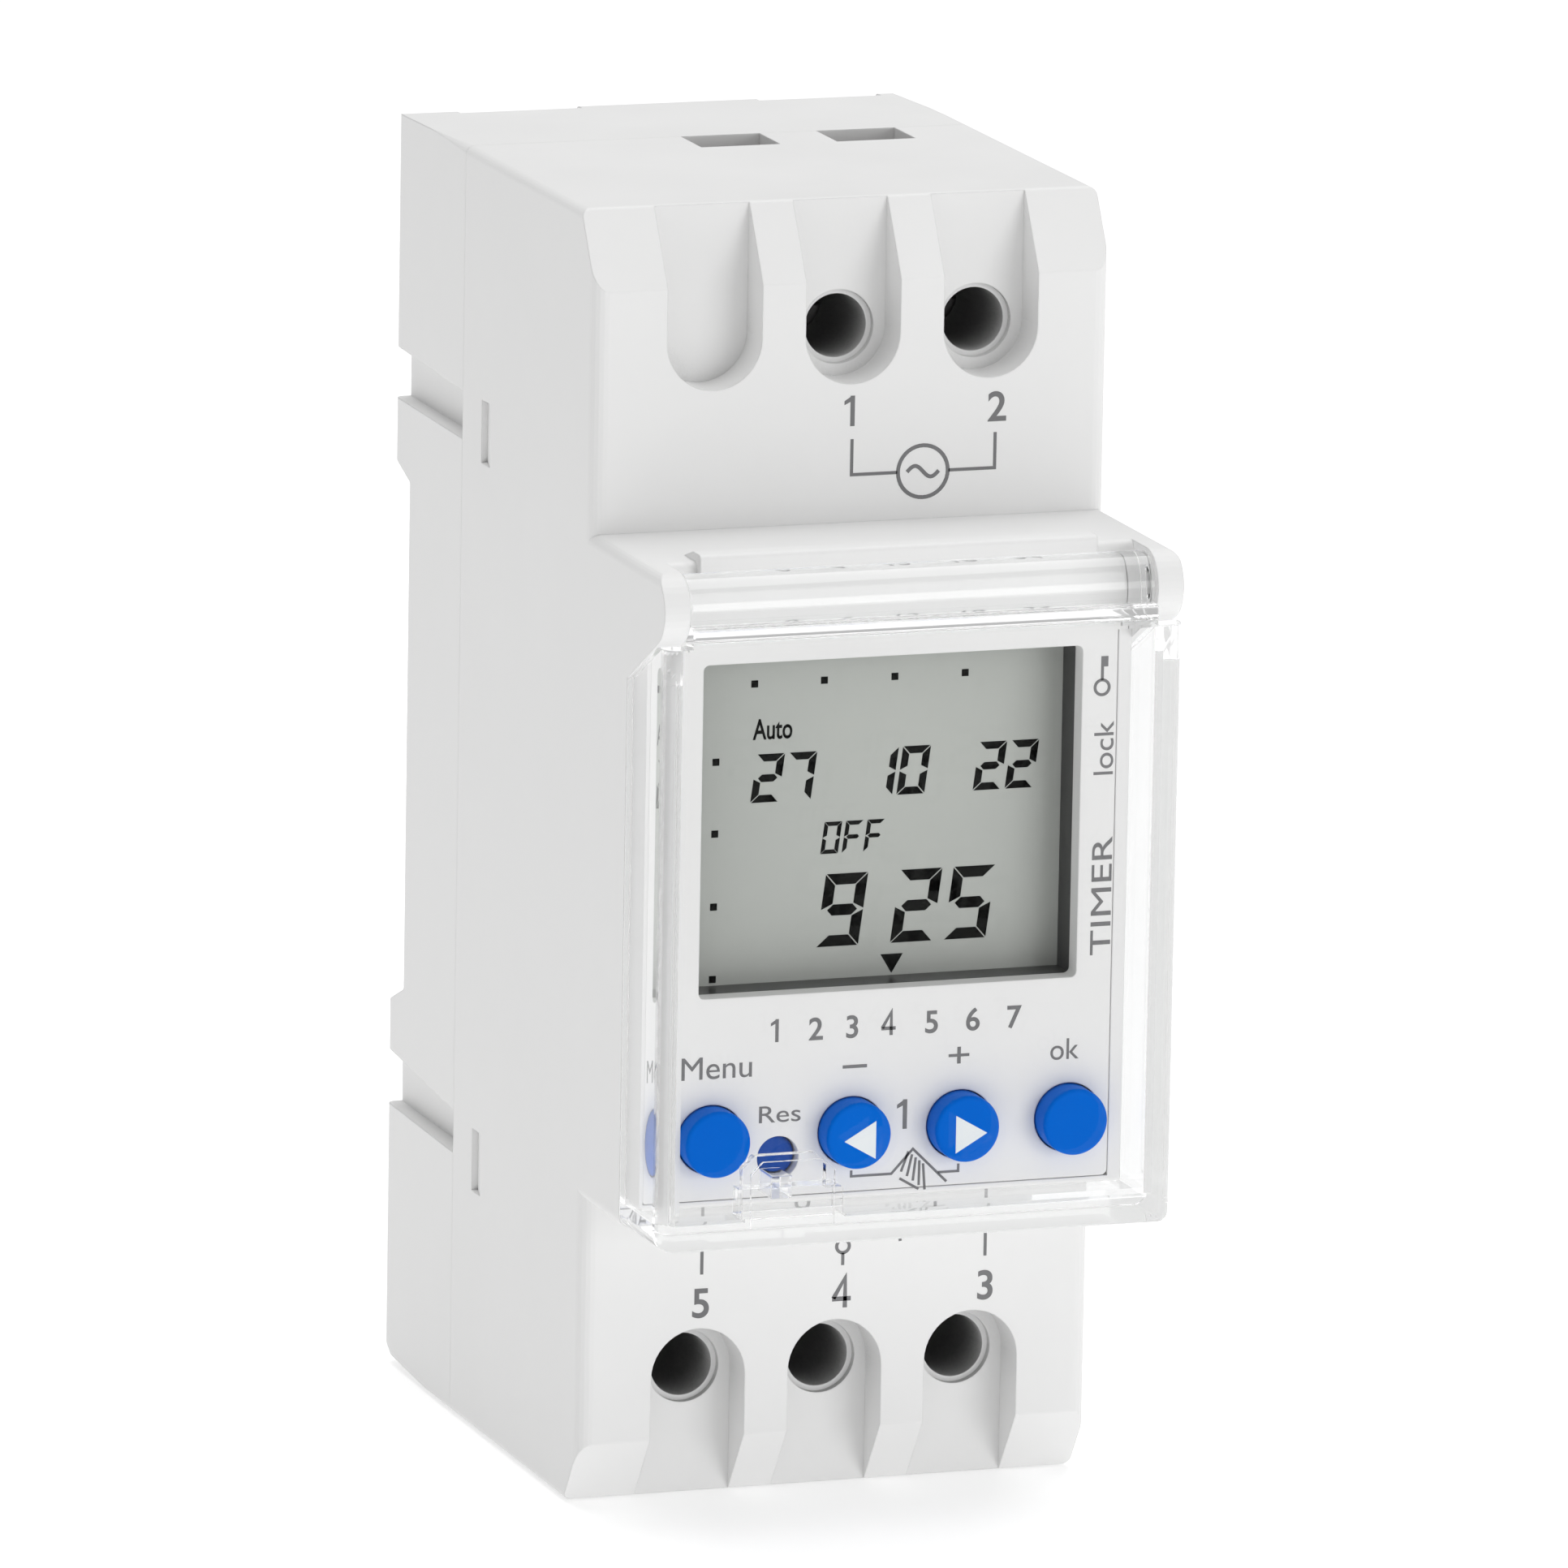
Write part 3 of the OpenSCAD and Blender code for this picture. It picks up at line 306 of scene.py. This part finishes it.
def drawn(name, outlines, y_face, material, body, slot):
    """Thin solids from outlines in mm, as one piece on a face that looks along -Y."""
    points, faces = [], []
    for outline in outlines:
        first, count = len(points), len(outline)
        for depth in (0.0, INK_THICK):
            points += [(x * MM, y_face * MM - depth, z * MM) for x, z in outline]
        faces.append([first + count + k for k in range(count)])
        for k in range(count):
            after = (k + 1) % count
            faces.append([first + k, first + after, first + count + after, first + count + k])
    mesh = bpy.data.meshes.new(name)
    mesh.from_pydata(points, [], faces)
    mesh.validate()
    carried(name, mesh, material, body)


def pen(path, width, closed=False):
    """Outlines of the quads that a pen of that width draws along a path, mitred."""
    sides = []
    total = len(path)
    for k, (x, z) in enumerate(path):
        before = path[k - 1] if k or closed else None
        after = path[(k + 1) % total] if k < total - 1 or closed else None
        ways = []
        for a, b in ((before, (x, z)), ((x, z), after)):
            if a and b:
                long = math.hypot(b[0] - a[0], b[1] - a[1])
                ways.append(((b[0] - a[0]) / long, (b[1] - a[1]) / long))
        normal = (-sum(w[1] for w in ways), sum(w[0] for w in ways))
        size = math.hypot(*normal)
        normal = (normal[0] / size, normal[1] / size)
        reach = width / 2 / max(0.4, abs(normal[1] * ways[0][0] - normal[0] * ways[0][1]))
        sides.append(((x + normal[0] * reach, z + normal[1] * reach),
                      (x - normal[0] * reach, z - normal[1] * reach)))
    steps = total if closed else total - 1
    return [[sides[k][0], sides[k][1], sides[(k + 1) % total][1], sides[(k + 1) % total][0]]
            for k in range(steps)]


def arc(x, z, radius, steps, per_turn):
    """Points on a circle, from the right and upwards, so many steps to the turn."""
    angles = [math.tau * k / per_turn for k in range(steps)]
    return [(x + radius * math.cos(a), z + radius * math.sin(a)) for a in angles]


def ring(x, z, radius, count=40):
    """Points all round a circle."""
    return arc(x, z, radius, count, count)


CAP_SHARE = 0.729  # height of a capital in the typeface, for a type size of 1
TYPE_DEEP = 0.5  # how far the type is drawn out to either side of its plane


def lettered(name, text, x, z, cap, y_face, material, body, slot, width=None, weight=0.0,
             turn=0.0):
    """Text as a thin solid, centred: cap height in mm, and the width in mm if it is set."""
    curve = bpy.data.curves.new(name, "FONT")
    curve.body = text
    curve.align_x = "CENTER"
    curve.extrude = TYPE_DEEP
    curve.offset = weight
    carrier = bpy.data.objects.new(name + "_type", curve)
    scene.collection.objects.link(carrier)
    bpy.context.view_layer.update()
    mesh = bpy.data.meshes.new_from_object(carrier.evaluated_get(
        bpy.context.evaluated_depsgraph_get()))
    bpy.data.objects.remove(carrier)
    xs = [v.co.x for v in mesh.vertices]
    tall = cap / CAP_SHARE
    across = tall if width is None else width / (max(xs) - min(xs))
    middle = (max(xs) + min(xs)) / 2
    cos, sin = math.cos(math.radians(turn)), math.sin(math.radians(turn))
    for v in mesh.vertices:
        side, up = (v.co.x - middle) * across, v.co.y * tall - cap / 2
        v.co = Vector(((x + side * cos - up * sin) * MM,
                       y_face * MM - (v.co.z + TYPE_DEEP) * INK_THICK,
                       (z + side * sin + up * cos) * MM))
    carried(name, mesh, material, body)


def figure_one(x, z, cap):
    """Outlines of a figure 1 with a flag, centred on its stem."""
    half, foot, top = cap * 0.075, z - cap / 2, z + cap / 2
    flag = [(x - half, top - cap * 0.04), (x - half, top - cap * 0.2),
            (x - cap * 0.28, top - cap * 0.3), (x - cap * 0.28, top - cap * 0.17)]
    return [[(x - half, foot), (x + half, foot), (x + half, top), (x - half, top)], flag]


def figure_four(x, z, cap):
    """Outlines of an open-topped stem, slope and bar: a figure 4."""
    stem, line = x + cap * 0.1, cap * 0.15
    slope = [(stem, z - cap / 2), (stem, z + cap / 2), (x - cap * 0.3, z - cap * 0.18)]
    bar = [(x - cap * 0.34, z - cap * 0.2), (x + cap * 0.3, z - cap * 0.2)]
    return pen(slope, line) + pen(bar, line)


grey_ink = surface("grey_ink", (0.16, 0.16, 0.165), (0.2, 0.2, 0.205), (0.35, 0.35, 0.35), 0.6,
                   relief=0.000003, radius=0.00001, Specular_IOR_Level=0.2)
TERMINAL_FACE = -39.5
HOUSING = (grey_ink, "housing", "shell_plastic")
NUMBER_CAP = 2.05
FIGURE_WEIGHT = 0.015
drawn("terminal_numbers_1_4",
      figure_one(0.05, 29.2, NUMBER_CAP) + figure_four(0.45, -30.8, NUMBER_CAP),
      TERMINAL_FACE, *HOUSING)
for text, x, z in (("2", 10.2, 29.1), ("5", -9.54, -30.8), ("3", 10.6, -30.85)):
    lettered("terminal_number_" + text, text, x, z, NUMBER_CAP, TERMINAL_FACE, *HOUSING,
             weight=FIGURE_WEIGHT)

# supply symbol between terminals 1 and 2: a ringed wave on a line to each
SUPPLY_X, SUPPLY_Z = 5.06, 24.9
LINE = 0.22
HEAVY_LINE = 1.2 * LINE
WAVE_HIGH = 0.38
wave = [(SUPPLY_X + t / 9, SUPPLY_Z - WAVE_HIGH * math.sin(t * math.pi / 10))
        for t in range(-10, 11)]
supply = pen(ring(SUPPLY_X, SUPPLY_Z, 1.75), HEAVY_LINE, closed=True) + pen(wave, HEAVY_LINE)
for end, side in ((0.05, -1.8), (10.1, 1.8)):
    supply += pen([(end, 27.3), (end, SUPPLY_Z), (SUPPLY_X + side, SUPPLY_Z)], LINE)
drawn("supply_diagram", supply, TERMINAL_FACE, *HOUSING)

# changeover contact above terminals 5, 4 and 3
PIVOT_X, PIVOT_Z, PIVOT_R = 0.45, -27.6, 0.45
LEADS_LOW, LEADS_HIGH = -28.9, -24.3
switch = pen(ring(PIVOT_X, PIVOT_Z, PIVOT_R, 20), LINE, closed=True)
switch += pen([(PIVOT_X, PIVOT_Z - PIVOT_R), (PIVOT_X, LEADS_LOW)], LINE)
for x in (-9.5, 10.55):
    switch += pen([(x, LEADS_LOW), (x, LEADS_HIGH)], LINE)
switch += pen(arc(3.6, -27.5, 0.9, 9, 32), LINE)
drawn("changeover_diagram", switch, TERMINAL_FACE, *HOUSING)

# The control board stands behind the front panel: the controller in its
# moulded black case, a nickel-plated crystal can, and a coin cell in a black
# holder. Four small screws fix it to the front shell.
chip_resin = surface("chip_resin", (0.016, 0.016, 0.017), (0.024, 0.024, 0.025),
                     (0.08, 0.08, 0.08), 0.42)
can_metal = surface("can_metal", (0.56, 0.56, 0.56), (0.63, 0.63, 0.62), (0.75, 0.75, 0.74),
                    0.26, pitch=8000.0, Metallic=1.0)
holder_plastic = surface("holder_plastic", (0.02, 0.02, 0.021), (0.03, 0.03, 0.031),
                         (0.09, 0.09, 0.09), 0.5)
for node, material, slot in (("control_board", circuit_board, "circuit_board"),
                             ("controller_chip", chip_resin, "chip_resin"),
                             ("clock_crystal", can_metal, "can_metal"),
                             ("lithium_cell", can_metal, "can_metal"),
                             ("cell_holder", holder_plastic, "holder_plastic"),
                             ("board_screws", screw_steel, "screw_steel")):
    dress(node, material)

# The display: a grey-green liquid crystal cell whose glass face carries the
# black segments, with a black moulded frame round it and two grey rubber
# contact strips that press its edges on to the control board.
display_face = bpy.data.materials.new("display_face")
display_face.use_nodes = True
tree = display_face.node_tree
shader = tree.nodes["Principled BSDF"]
texture = use(tree, grain, Pitch=2600.0, Drift=35.0)
edges = use(tree, corners, Radius=0.0001)
tone = blended(tree, texture.outputs["Mottle"], (0.47, 0.49, 0.465), (0.50, 0.52, 0.49))
tree.links.new(blended(tree, edges.outputs["Wear"], tone, (0.6, 0.62, 0.6)),
               shader.inputs["Base Color"])
tree.links.new(ranged(tree, texture.outputs["Mottle"], To_Min=0.12, To_Max=0.2),
               shader.inputs["Roughness"])
bump = wired(tree, "ShaderNodeBump", {"Strength": 0.2, "Distance": 0.000002,
                                      "Height": texture.outputs["Height"],
                                      "Normal": edges.outputs["Normal"]})
tree.links.new(bump.outputs["Normal"], shader.inputs["Normal"])
shader.inputs["Specular IOR Level"].default_value = 0.15
dress("display_glass", display_face)
frame_plastic = surface("frame_plastic", (0.012, 0.012, 0.013), (0.017, 0.017, 0.018),
                        (0.06, 0.06, 0.06), 0.3)
elastomer = surface("elastomer", (0.05, 0.05, 0.055), (0.07, 0.07, 0.075), (0.12, 0.12, 0.12),
                    0.7, pitch=2000.0)
dress("display_frame", frame_plastic)
dress("contact_strips", elastomer)

GLASS_FACE = -46.1
segment_black = surface("segment_black", (0.002, 0.002, 0.002), (0.004, 0.004, 0.004),
                        (0.02, 0.02, 0.02), 0.6, relief=0.000001, radius=0.00001,
                        Specular_IOR_Level=0.0)
SEGMENTS = (segment_black, "housing", "display_face")
LEAN = math.tan(math.radians(7.5))
DISPLAY_RISE = 0.18
MARK_SIDE = 0.48
BARS = {"0": "abcdef", "1": "bc", "2": "abged", "5": "afgcd", "7": "abc", "9": "abcdfg",
        "O": "abcdef", "F": "aefg"}


def seven(sign, x, z, width, height, stroke, gap):
    """Outlines of the lit bars of a leaning seven-segment figure, x and z its left foot."""
    half, mid = stroke / 2, height / 2
    left, right, low, high = half, width - half, half, height - half

    def level(at, a, b):
        a, b = a + gap, b - gap
        if at == mid:
            return [(a, at), (a + half, at + half), (b - half, at + half), (b, at),
                    (b - half, at - half), (a + half, at - half)]
        out = half if at > mid else -half
        return [(a - half, at + out), (b + half, at + out), (b - half, at - out),
                (a + half, at - out)]

    def upright(at, a, b):
        a, b = a + gap, b - gap
        out = half if at > width / 2 else -half
        foot = a - half if a < mid - stroke else a
        head = b + half if b > mid + stroke else b
        return [(at + out, foot), (at + out, head), (at - out, b - half), (at - out, a + half)]

    shapes = {"a": level(high, left, right), "d": level(low, left, right),
              "g": level(mid, left, right), "f": upright(left, mid, high),
              "b": upright(right, mid, high), "e": upright(left, low, mid),
              "c": upright(right, low, mid)}
    return [[(x + px + pz * LEAN, z + pz + DISPLAY_RISE) for px, pz in shapes[bar]]
            for bar in BARS[sign]]


def figures(signs, x, z, width, height, stroke, pitch, gap):
    """Outlines of a row of seven-segment figures."""
    made = []
    for k, sign in enumerate(signs):
        made += seven(sign, x + k * pitch, z, width, height, stroke, gap)
    return made


def box_mark(x, z, side):
    """A square outline."""
    half, z = side / 2, z + DISPLAY_RISE
    return [(x + a * half, z + b * half) for a, b in ((-1, -1), (1, -1), (1, 1), (-1, 1))]


# each row: signs, left foot, width and height of a figure, stroke, pitch, gap at the joints
lit = []
for signs, x, z, *shape in (("27", -8.95, 4.4, 1.95, 3.25, 0.5, 2.25, 0.05),
                            ("10", -1.0, 4.4, 1.95, 3.25, 0.5, 2.25, 0.05),
                            ("22", 6.6, 4.4, 1.95, 3.25, 0.5, 2.25, 0.05),
                            ("OFF", -4.0, 0.68, 1.22, 2.15, 0.28, 1.5, 0.02),
                            ("9", -4.2, -5.6, 2.95, 4.9, 0.75, 4.0, 0.05),
                            ("25", 1.0, -5.6, 2.95, 4.9, 0.75, 3.75, 0.05)):
    lit += figures(signs, x, z, *shape)
lit += [box_mark(x, 12.4, MARK_SIDE) for x in (-8.77, -3.92, 1.0, 5.92)]
lit += [box_mark(-11.38, z, MARK_SIDE) for z in (7.28, 2.45, -2.47, -7.36)]
lit += [[(0.35, -6.16), (1.135, -7.46), (1.92, -6.16)]]
drawn("display_segments", lit, GLASS_FACE, *SEGMENTS)
lettered("display_auto", "Auto", -7.47, 9.55, 1.42, GLASS_FACE, *SEGMENTS, width=2.75,
         weight=FIGURE_WEIGHT)

# The front panel: a separate moulding pressed into the front shell, with
# the window, the button wells and grey pad-printed legends.
panel_plastic = surface("panel_plastic", (0.80, 0.80, 0.795), (0.83, 0.83, 0.825),
                        (0.88, 0.88, 0.88), 0.46)
dress("face_plate", panel_plastic)
PANEL_FACE = -49.8
PANEL = (grey_ink, "housing", "panel_plastic")
DAY_ROW, DAY_CAP = -10.0, 1.55
drawn("panel_figures_1_4", figure_one(-8.1, DAY_ROW, DAY_CAP) + figure_one(0.95, -16.2, 2.0)
      + figure_four(-0.28, DAY_ROW, DAY_CAP), PANEL_FACE, *PANEL)
for text, x in zip("23567", (-5.38, -2.85, 2.70, 5.60, 8.51)):
    lettered("day_" + text, text, x, DAY_ROW, DAY_CAP, PANEL_FACE, *PANEL,
             weight=FIGURE_WEIGHT)
for name, text, x, z, cap, width in (("menu_word", "Menu", -12.25, -12.2, 1.6, 4.9),
                                     ("reset_word", "Res", -7.8, -15.6, 1.2, 2.9),
                                     ("ok_word", "ok", 12.1, -12.4, 1.5, 2.0),
                                     ("plus_sign", "+", 4.67, -12.4, 1.75, 1.45),
                                     ("minus_sign", "-", -2.62, -12.4, 1.75, 1.7)):
    lettered(name, text, x, z, cap, PANEL_FACE, *PANEL, width=width)
HOUR_ROW, HOUR_CAP = 17.8, 1.5
for text, x in (("0", -8.0), ("6", -4.1), ("12", 0.05), ("18", 4.6), ("24", 9.0)):
    lettered("hour_" + text, text, x, HOUR_ROW, HOUR_CAP, PANEL_FACE, *PANEL, weight=0.01)
lettered("lock_word", "lock", 14.35, 7.8, 1.45, PANEL_FACE, *PANEL, width=3.6, turn=90.0)
lettered("timer_word", "TIMER", 14.4, -2.2, 1.5, PANEL_FACE, *PANEL, width=8.0, turn=90.0)

# pointing hand for manual switching, and a small key for the lock
HAND_LINE, KEY_LINE, KEY_BIT = 0.17, 0.2, 0.3
KEY_X, KEY_BOW, KEY_TOP = 14.2, 12.4, 14.0
hand = pen([(-2.74, -19.8), (-2.74, -20.2), (0.07, -20.2), (1.56, -18.6), (3.95, -20.96)],
           HAND_LINE)
hand += pen([(3.34, -20.3), (4.77, -20.3), (4.77, -19.8)], HAND_LINE)
for k in range(5):
    hand += pen([(1.25 + 0.26 * k, -18.75 - 0.22 * k), (0.75 + 0.42 * k, -20.1 - 0.33 * k)],
                HAND_LINE)
hand += pen([(0.65, -20.55), (2.0, -21.35)], HAND_LINE)
drawn("manual_symbol", hand, PANEL_FACE, *PANEL)
key = pen(ring(KEY_X, KEY_BOW - 0.5, 0.5, 24), KEY_LINE, closed=True)
key += pen([(KEY_X, KEY_BOW), (KEY_X, KEY_TOP)], KEY_LINE)
key += pen([(KEY_X + 0.25, KEY_TOP - 0.7), (KEY_X + 0.25, KEY_TOP)], KEY_BIT)
drawn("key_symbol", key, PANEL_FACE, *PANEL)

# The buttons: five blue caps on one translucent silicone mat. The minus
# and plus caps carry white printed arrows.
silicone = surface("silicone", (0.42, 0.42, 0.40), (0.47, 0.47, 0.45), (0.55, 0.55, 0.53), 0.62,
                   pitch=2400.0)
dress("key_mat", silicone)
button_blue = surface("button_blue", (0.0, 0.120, 0.60), (0.0, 0.135, 0.64),
                      (0.01, 0.20, 0.74), 0.42, relief=0.000005, radius=0.00025,
                      Specular_IOR_Level=0.03)
# painted shade: the reset cap gets a darker blue than the other caps, standing in for the shade
# in its recessed well
shaded_reset_blue = surface("shaded_reset_blue", (0.012, 0.065, 0.33), (0.016, 0.075, 0.36),
                     (0.06, 0.14, 0.45), 0.45, relief=0.000005, Specular_IOR_Level=0.1)
for name in ("menu", "minus", "plus", "ok"):
    dress(name + "_button", button_blue)
dress("reset_button", shaded_reset_blue)
white_ink = surface("white_ink", (0.78, 0.82, 0.84), (0.82, 0.86, 0.88), (0.85, 0.88, 0.9), 0.5,
                    relief=0.000003, radius=0.00001)
ARROW_TIP, ARROW_BACK, ARROW_HALF = 1.2, 1.0, 1.28
for name, way in (("minus", -1), ("plus", 1)):
    low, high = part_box(name + "_button")
    x, z = (low[0] + high[0]) / 2 / MM + 0.15, (low[2] + high[2]) / 2 / MM - 0.3
    arrow = [(x + way * ARROW_TIP, z), (x - way * ARROW_BACK, z + ARROW_HALF),
             (x - way * ARROW_BACK, z - ARROW_HALF)]
    drawn(name + "_arrow", [arrow[::way]], low[1] / MM, white_ink, "button_" + name,
          "button_plastic")

# The cover: clear polycarbonate, hinged at its top corners on two moulded
# pins, with a finger tab and a slot for a seal at the lower left.
clear_plastic = bpy.data.materials.new("clear_plastic")
clear_plastic.use_nodes = True
tree = clear_plastic.node_tree
shader = tree.nodes["Principled BSDF"]
shader.inputs["Transmission Weight"].default_value = 1.0
shader.inputs["Metallic"].default_value = 0.0
shader.inputs["IOR"].default_value = 1.49
texture = use(tree, grain, Pitch=900.0, Drift=120.0)
edges = use(tree, corners, Radius=0.0002)
tone = blended(tree, texture.outputs["Mottle"], (0.91, 0.915, 0.915), (0.94, 0.943, 0.943))
tree.links.new(blended(tree, edges.outputs["Wear"], tone, (0.86, 0.87, 0.87)),
               shader.inputs["Base Color"])
tree.links.new(ranged(tree, texture.outputs["Mottle"], To_Min=0.01, To_Max=0.035),
               shader.inputs["Roughness"])
tree.links.new(edges.outputs["Normal"], shader.inputs["Normal"])

# shadow and diffuse rays pass, and so do rays that were turned about too often inside
MOST_TURNS = 3.5
path = wired(tree, "ShaderNodeLightPath")
deep = reckoned(tree, "GREATER_THAN", path.outputs["Ray Depth"], MOST_TURNS)
unlit = reckoned(tree, "MAXIMUM", path.outputs["Is Shadow Ray"],
                 path.outputs["Is Diffuse Ray"])
passing = reckoned(tree, "MAXIMUM", unlit, deep)

# faces of the flat pane seen square on show little but the view behind them
PANE_HALF_WIDE, PANE_MIDDLE, PANE_HALF_HIGH = 0.0165, -0.0022, 0.0191
slope = wired(tree, "ShaderNodeLayerWeight", {"Blend": 0.5})
square_on = ranged(tree, slope.outputs["Facing"], From_Min=0.45, From_Max=0.2, To_Max=0.985)
spot = wired(tree, "ShaderNodeSeparateXYZ", {"Vector": on_object(tree)})
across = reckoned(tree, "COMPARE", spot.outputs["X"], 0.0, PANE_HALF_WIDE)
upward = reckoned(tree, "COMPARE", spot.outputs["Z"], PANE_MIDDLE, PANE_HALF_HIGH)
plain = reckoned(tree, "MULTIPLY", square_on, reckoned(tree, "MULTIPLY", across, upward))
unseen = reckoned(tree, "MAXIMUM", passing, plain)
clear = wired(tree, "ShaderNodeBsdfTransparent", {"Color": (0.985, 0.985, 0.985, 1)})
mixed = wired(tree, "ShaderNodeMixShader", {0: unseen})
tree.links.new(shader.outputs["BSDF"], mixed.inputs[1])
tree.links.new(clear.outputs["BSDF"], mixed.inputs[2])
tree.links.new(mixed.outputs["Shader"], tree.nodes["Material Output"].inputs["Surface"])
dress("clear_cover", clear_plastic)

# The studio: a pale floor under the object and broad soft light from the
# front right and from above, on a white surround.
floor_paint = surface("floor_paint", (0.93, 0.93, 0.93), (0.95, 0.95, 0.95),
                      (0.95, 0.95, 0.95), 0.8, pitch=60.0, drift=6.0, relief=0.0001,
                      Emission_Strength=0.3)
FLOOR_GAP = 0.0001
FLOOR = min(corner[2] for corner in first_bounds) - FLOOR_GAP
floor_mesh = bpy.data.meshes.new("floor")
floor_mesh.from_pydata([(x, y, FLOOR) for x, y in ((-3, -3), (3, -3), (3, 3), (-3, 3))], [],
                       [(0, 1, 2, 3)])
floor_mesh.materials.append(floor_paint)
floor = bpy.data.objects.new("floor", floor_mesh)
scene.collection.objects.link(floor)

world = bpy.data.worlds.new("studio")
world.use_nodes = True
tree = world.node_tree
WHITE_SEEN, WHITE_GIVEN = 1.0, 0.49
path = wired(tree, "ShaderNodeLightPath")
sky = ranged(tree, path.outputs["Is Camera Ray"], To_Min=WHITE_GIVEN, To_Max=WHITE_SEEN)
tree.nodes["Background"].inputs["Color"].default_value = (1, 1, 1, 1)
tree.links.new(sky, tree.nodes["Background"].inputs["Strength"])
scene.world = world
AIM = Vector((0, -0.03, 0))
for name, place, size, power in (("key_light", (0.45, -0.8, 0.05), 0.5, 2.5),
                                 ("top_light", (0.05, 0.1, 0.9), 0.8, 5.0)):
    light = bpy.data.lights.new(name, "AREA")
    light.size = size
    light.energy = power
    lamp = bpy.data.objects.new(name, light)
    lamp.location = place
    lamp.rotation_euler = (AIM - Vector(place)).to_track_quat("-Z", "Y").to_euler()
    scene.collection.objects.link(lamp)
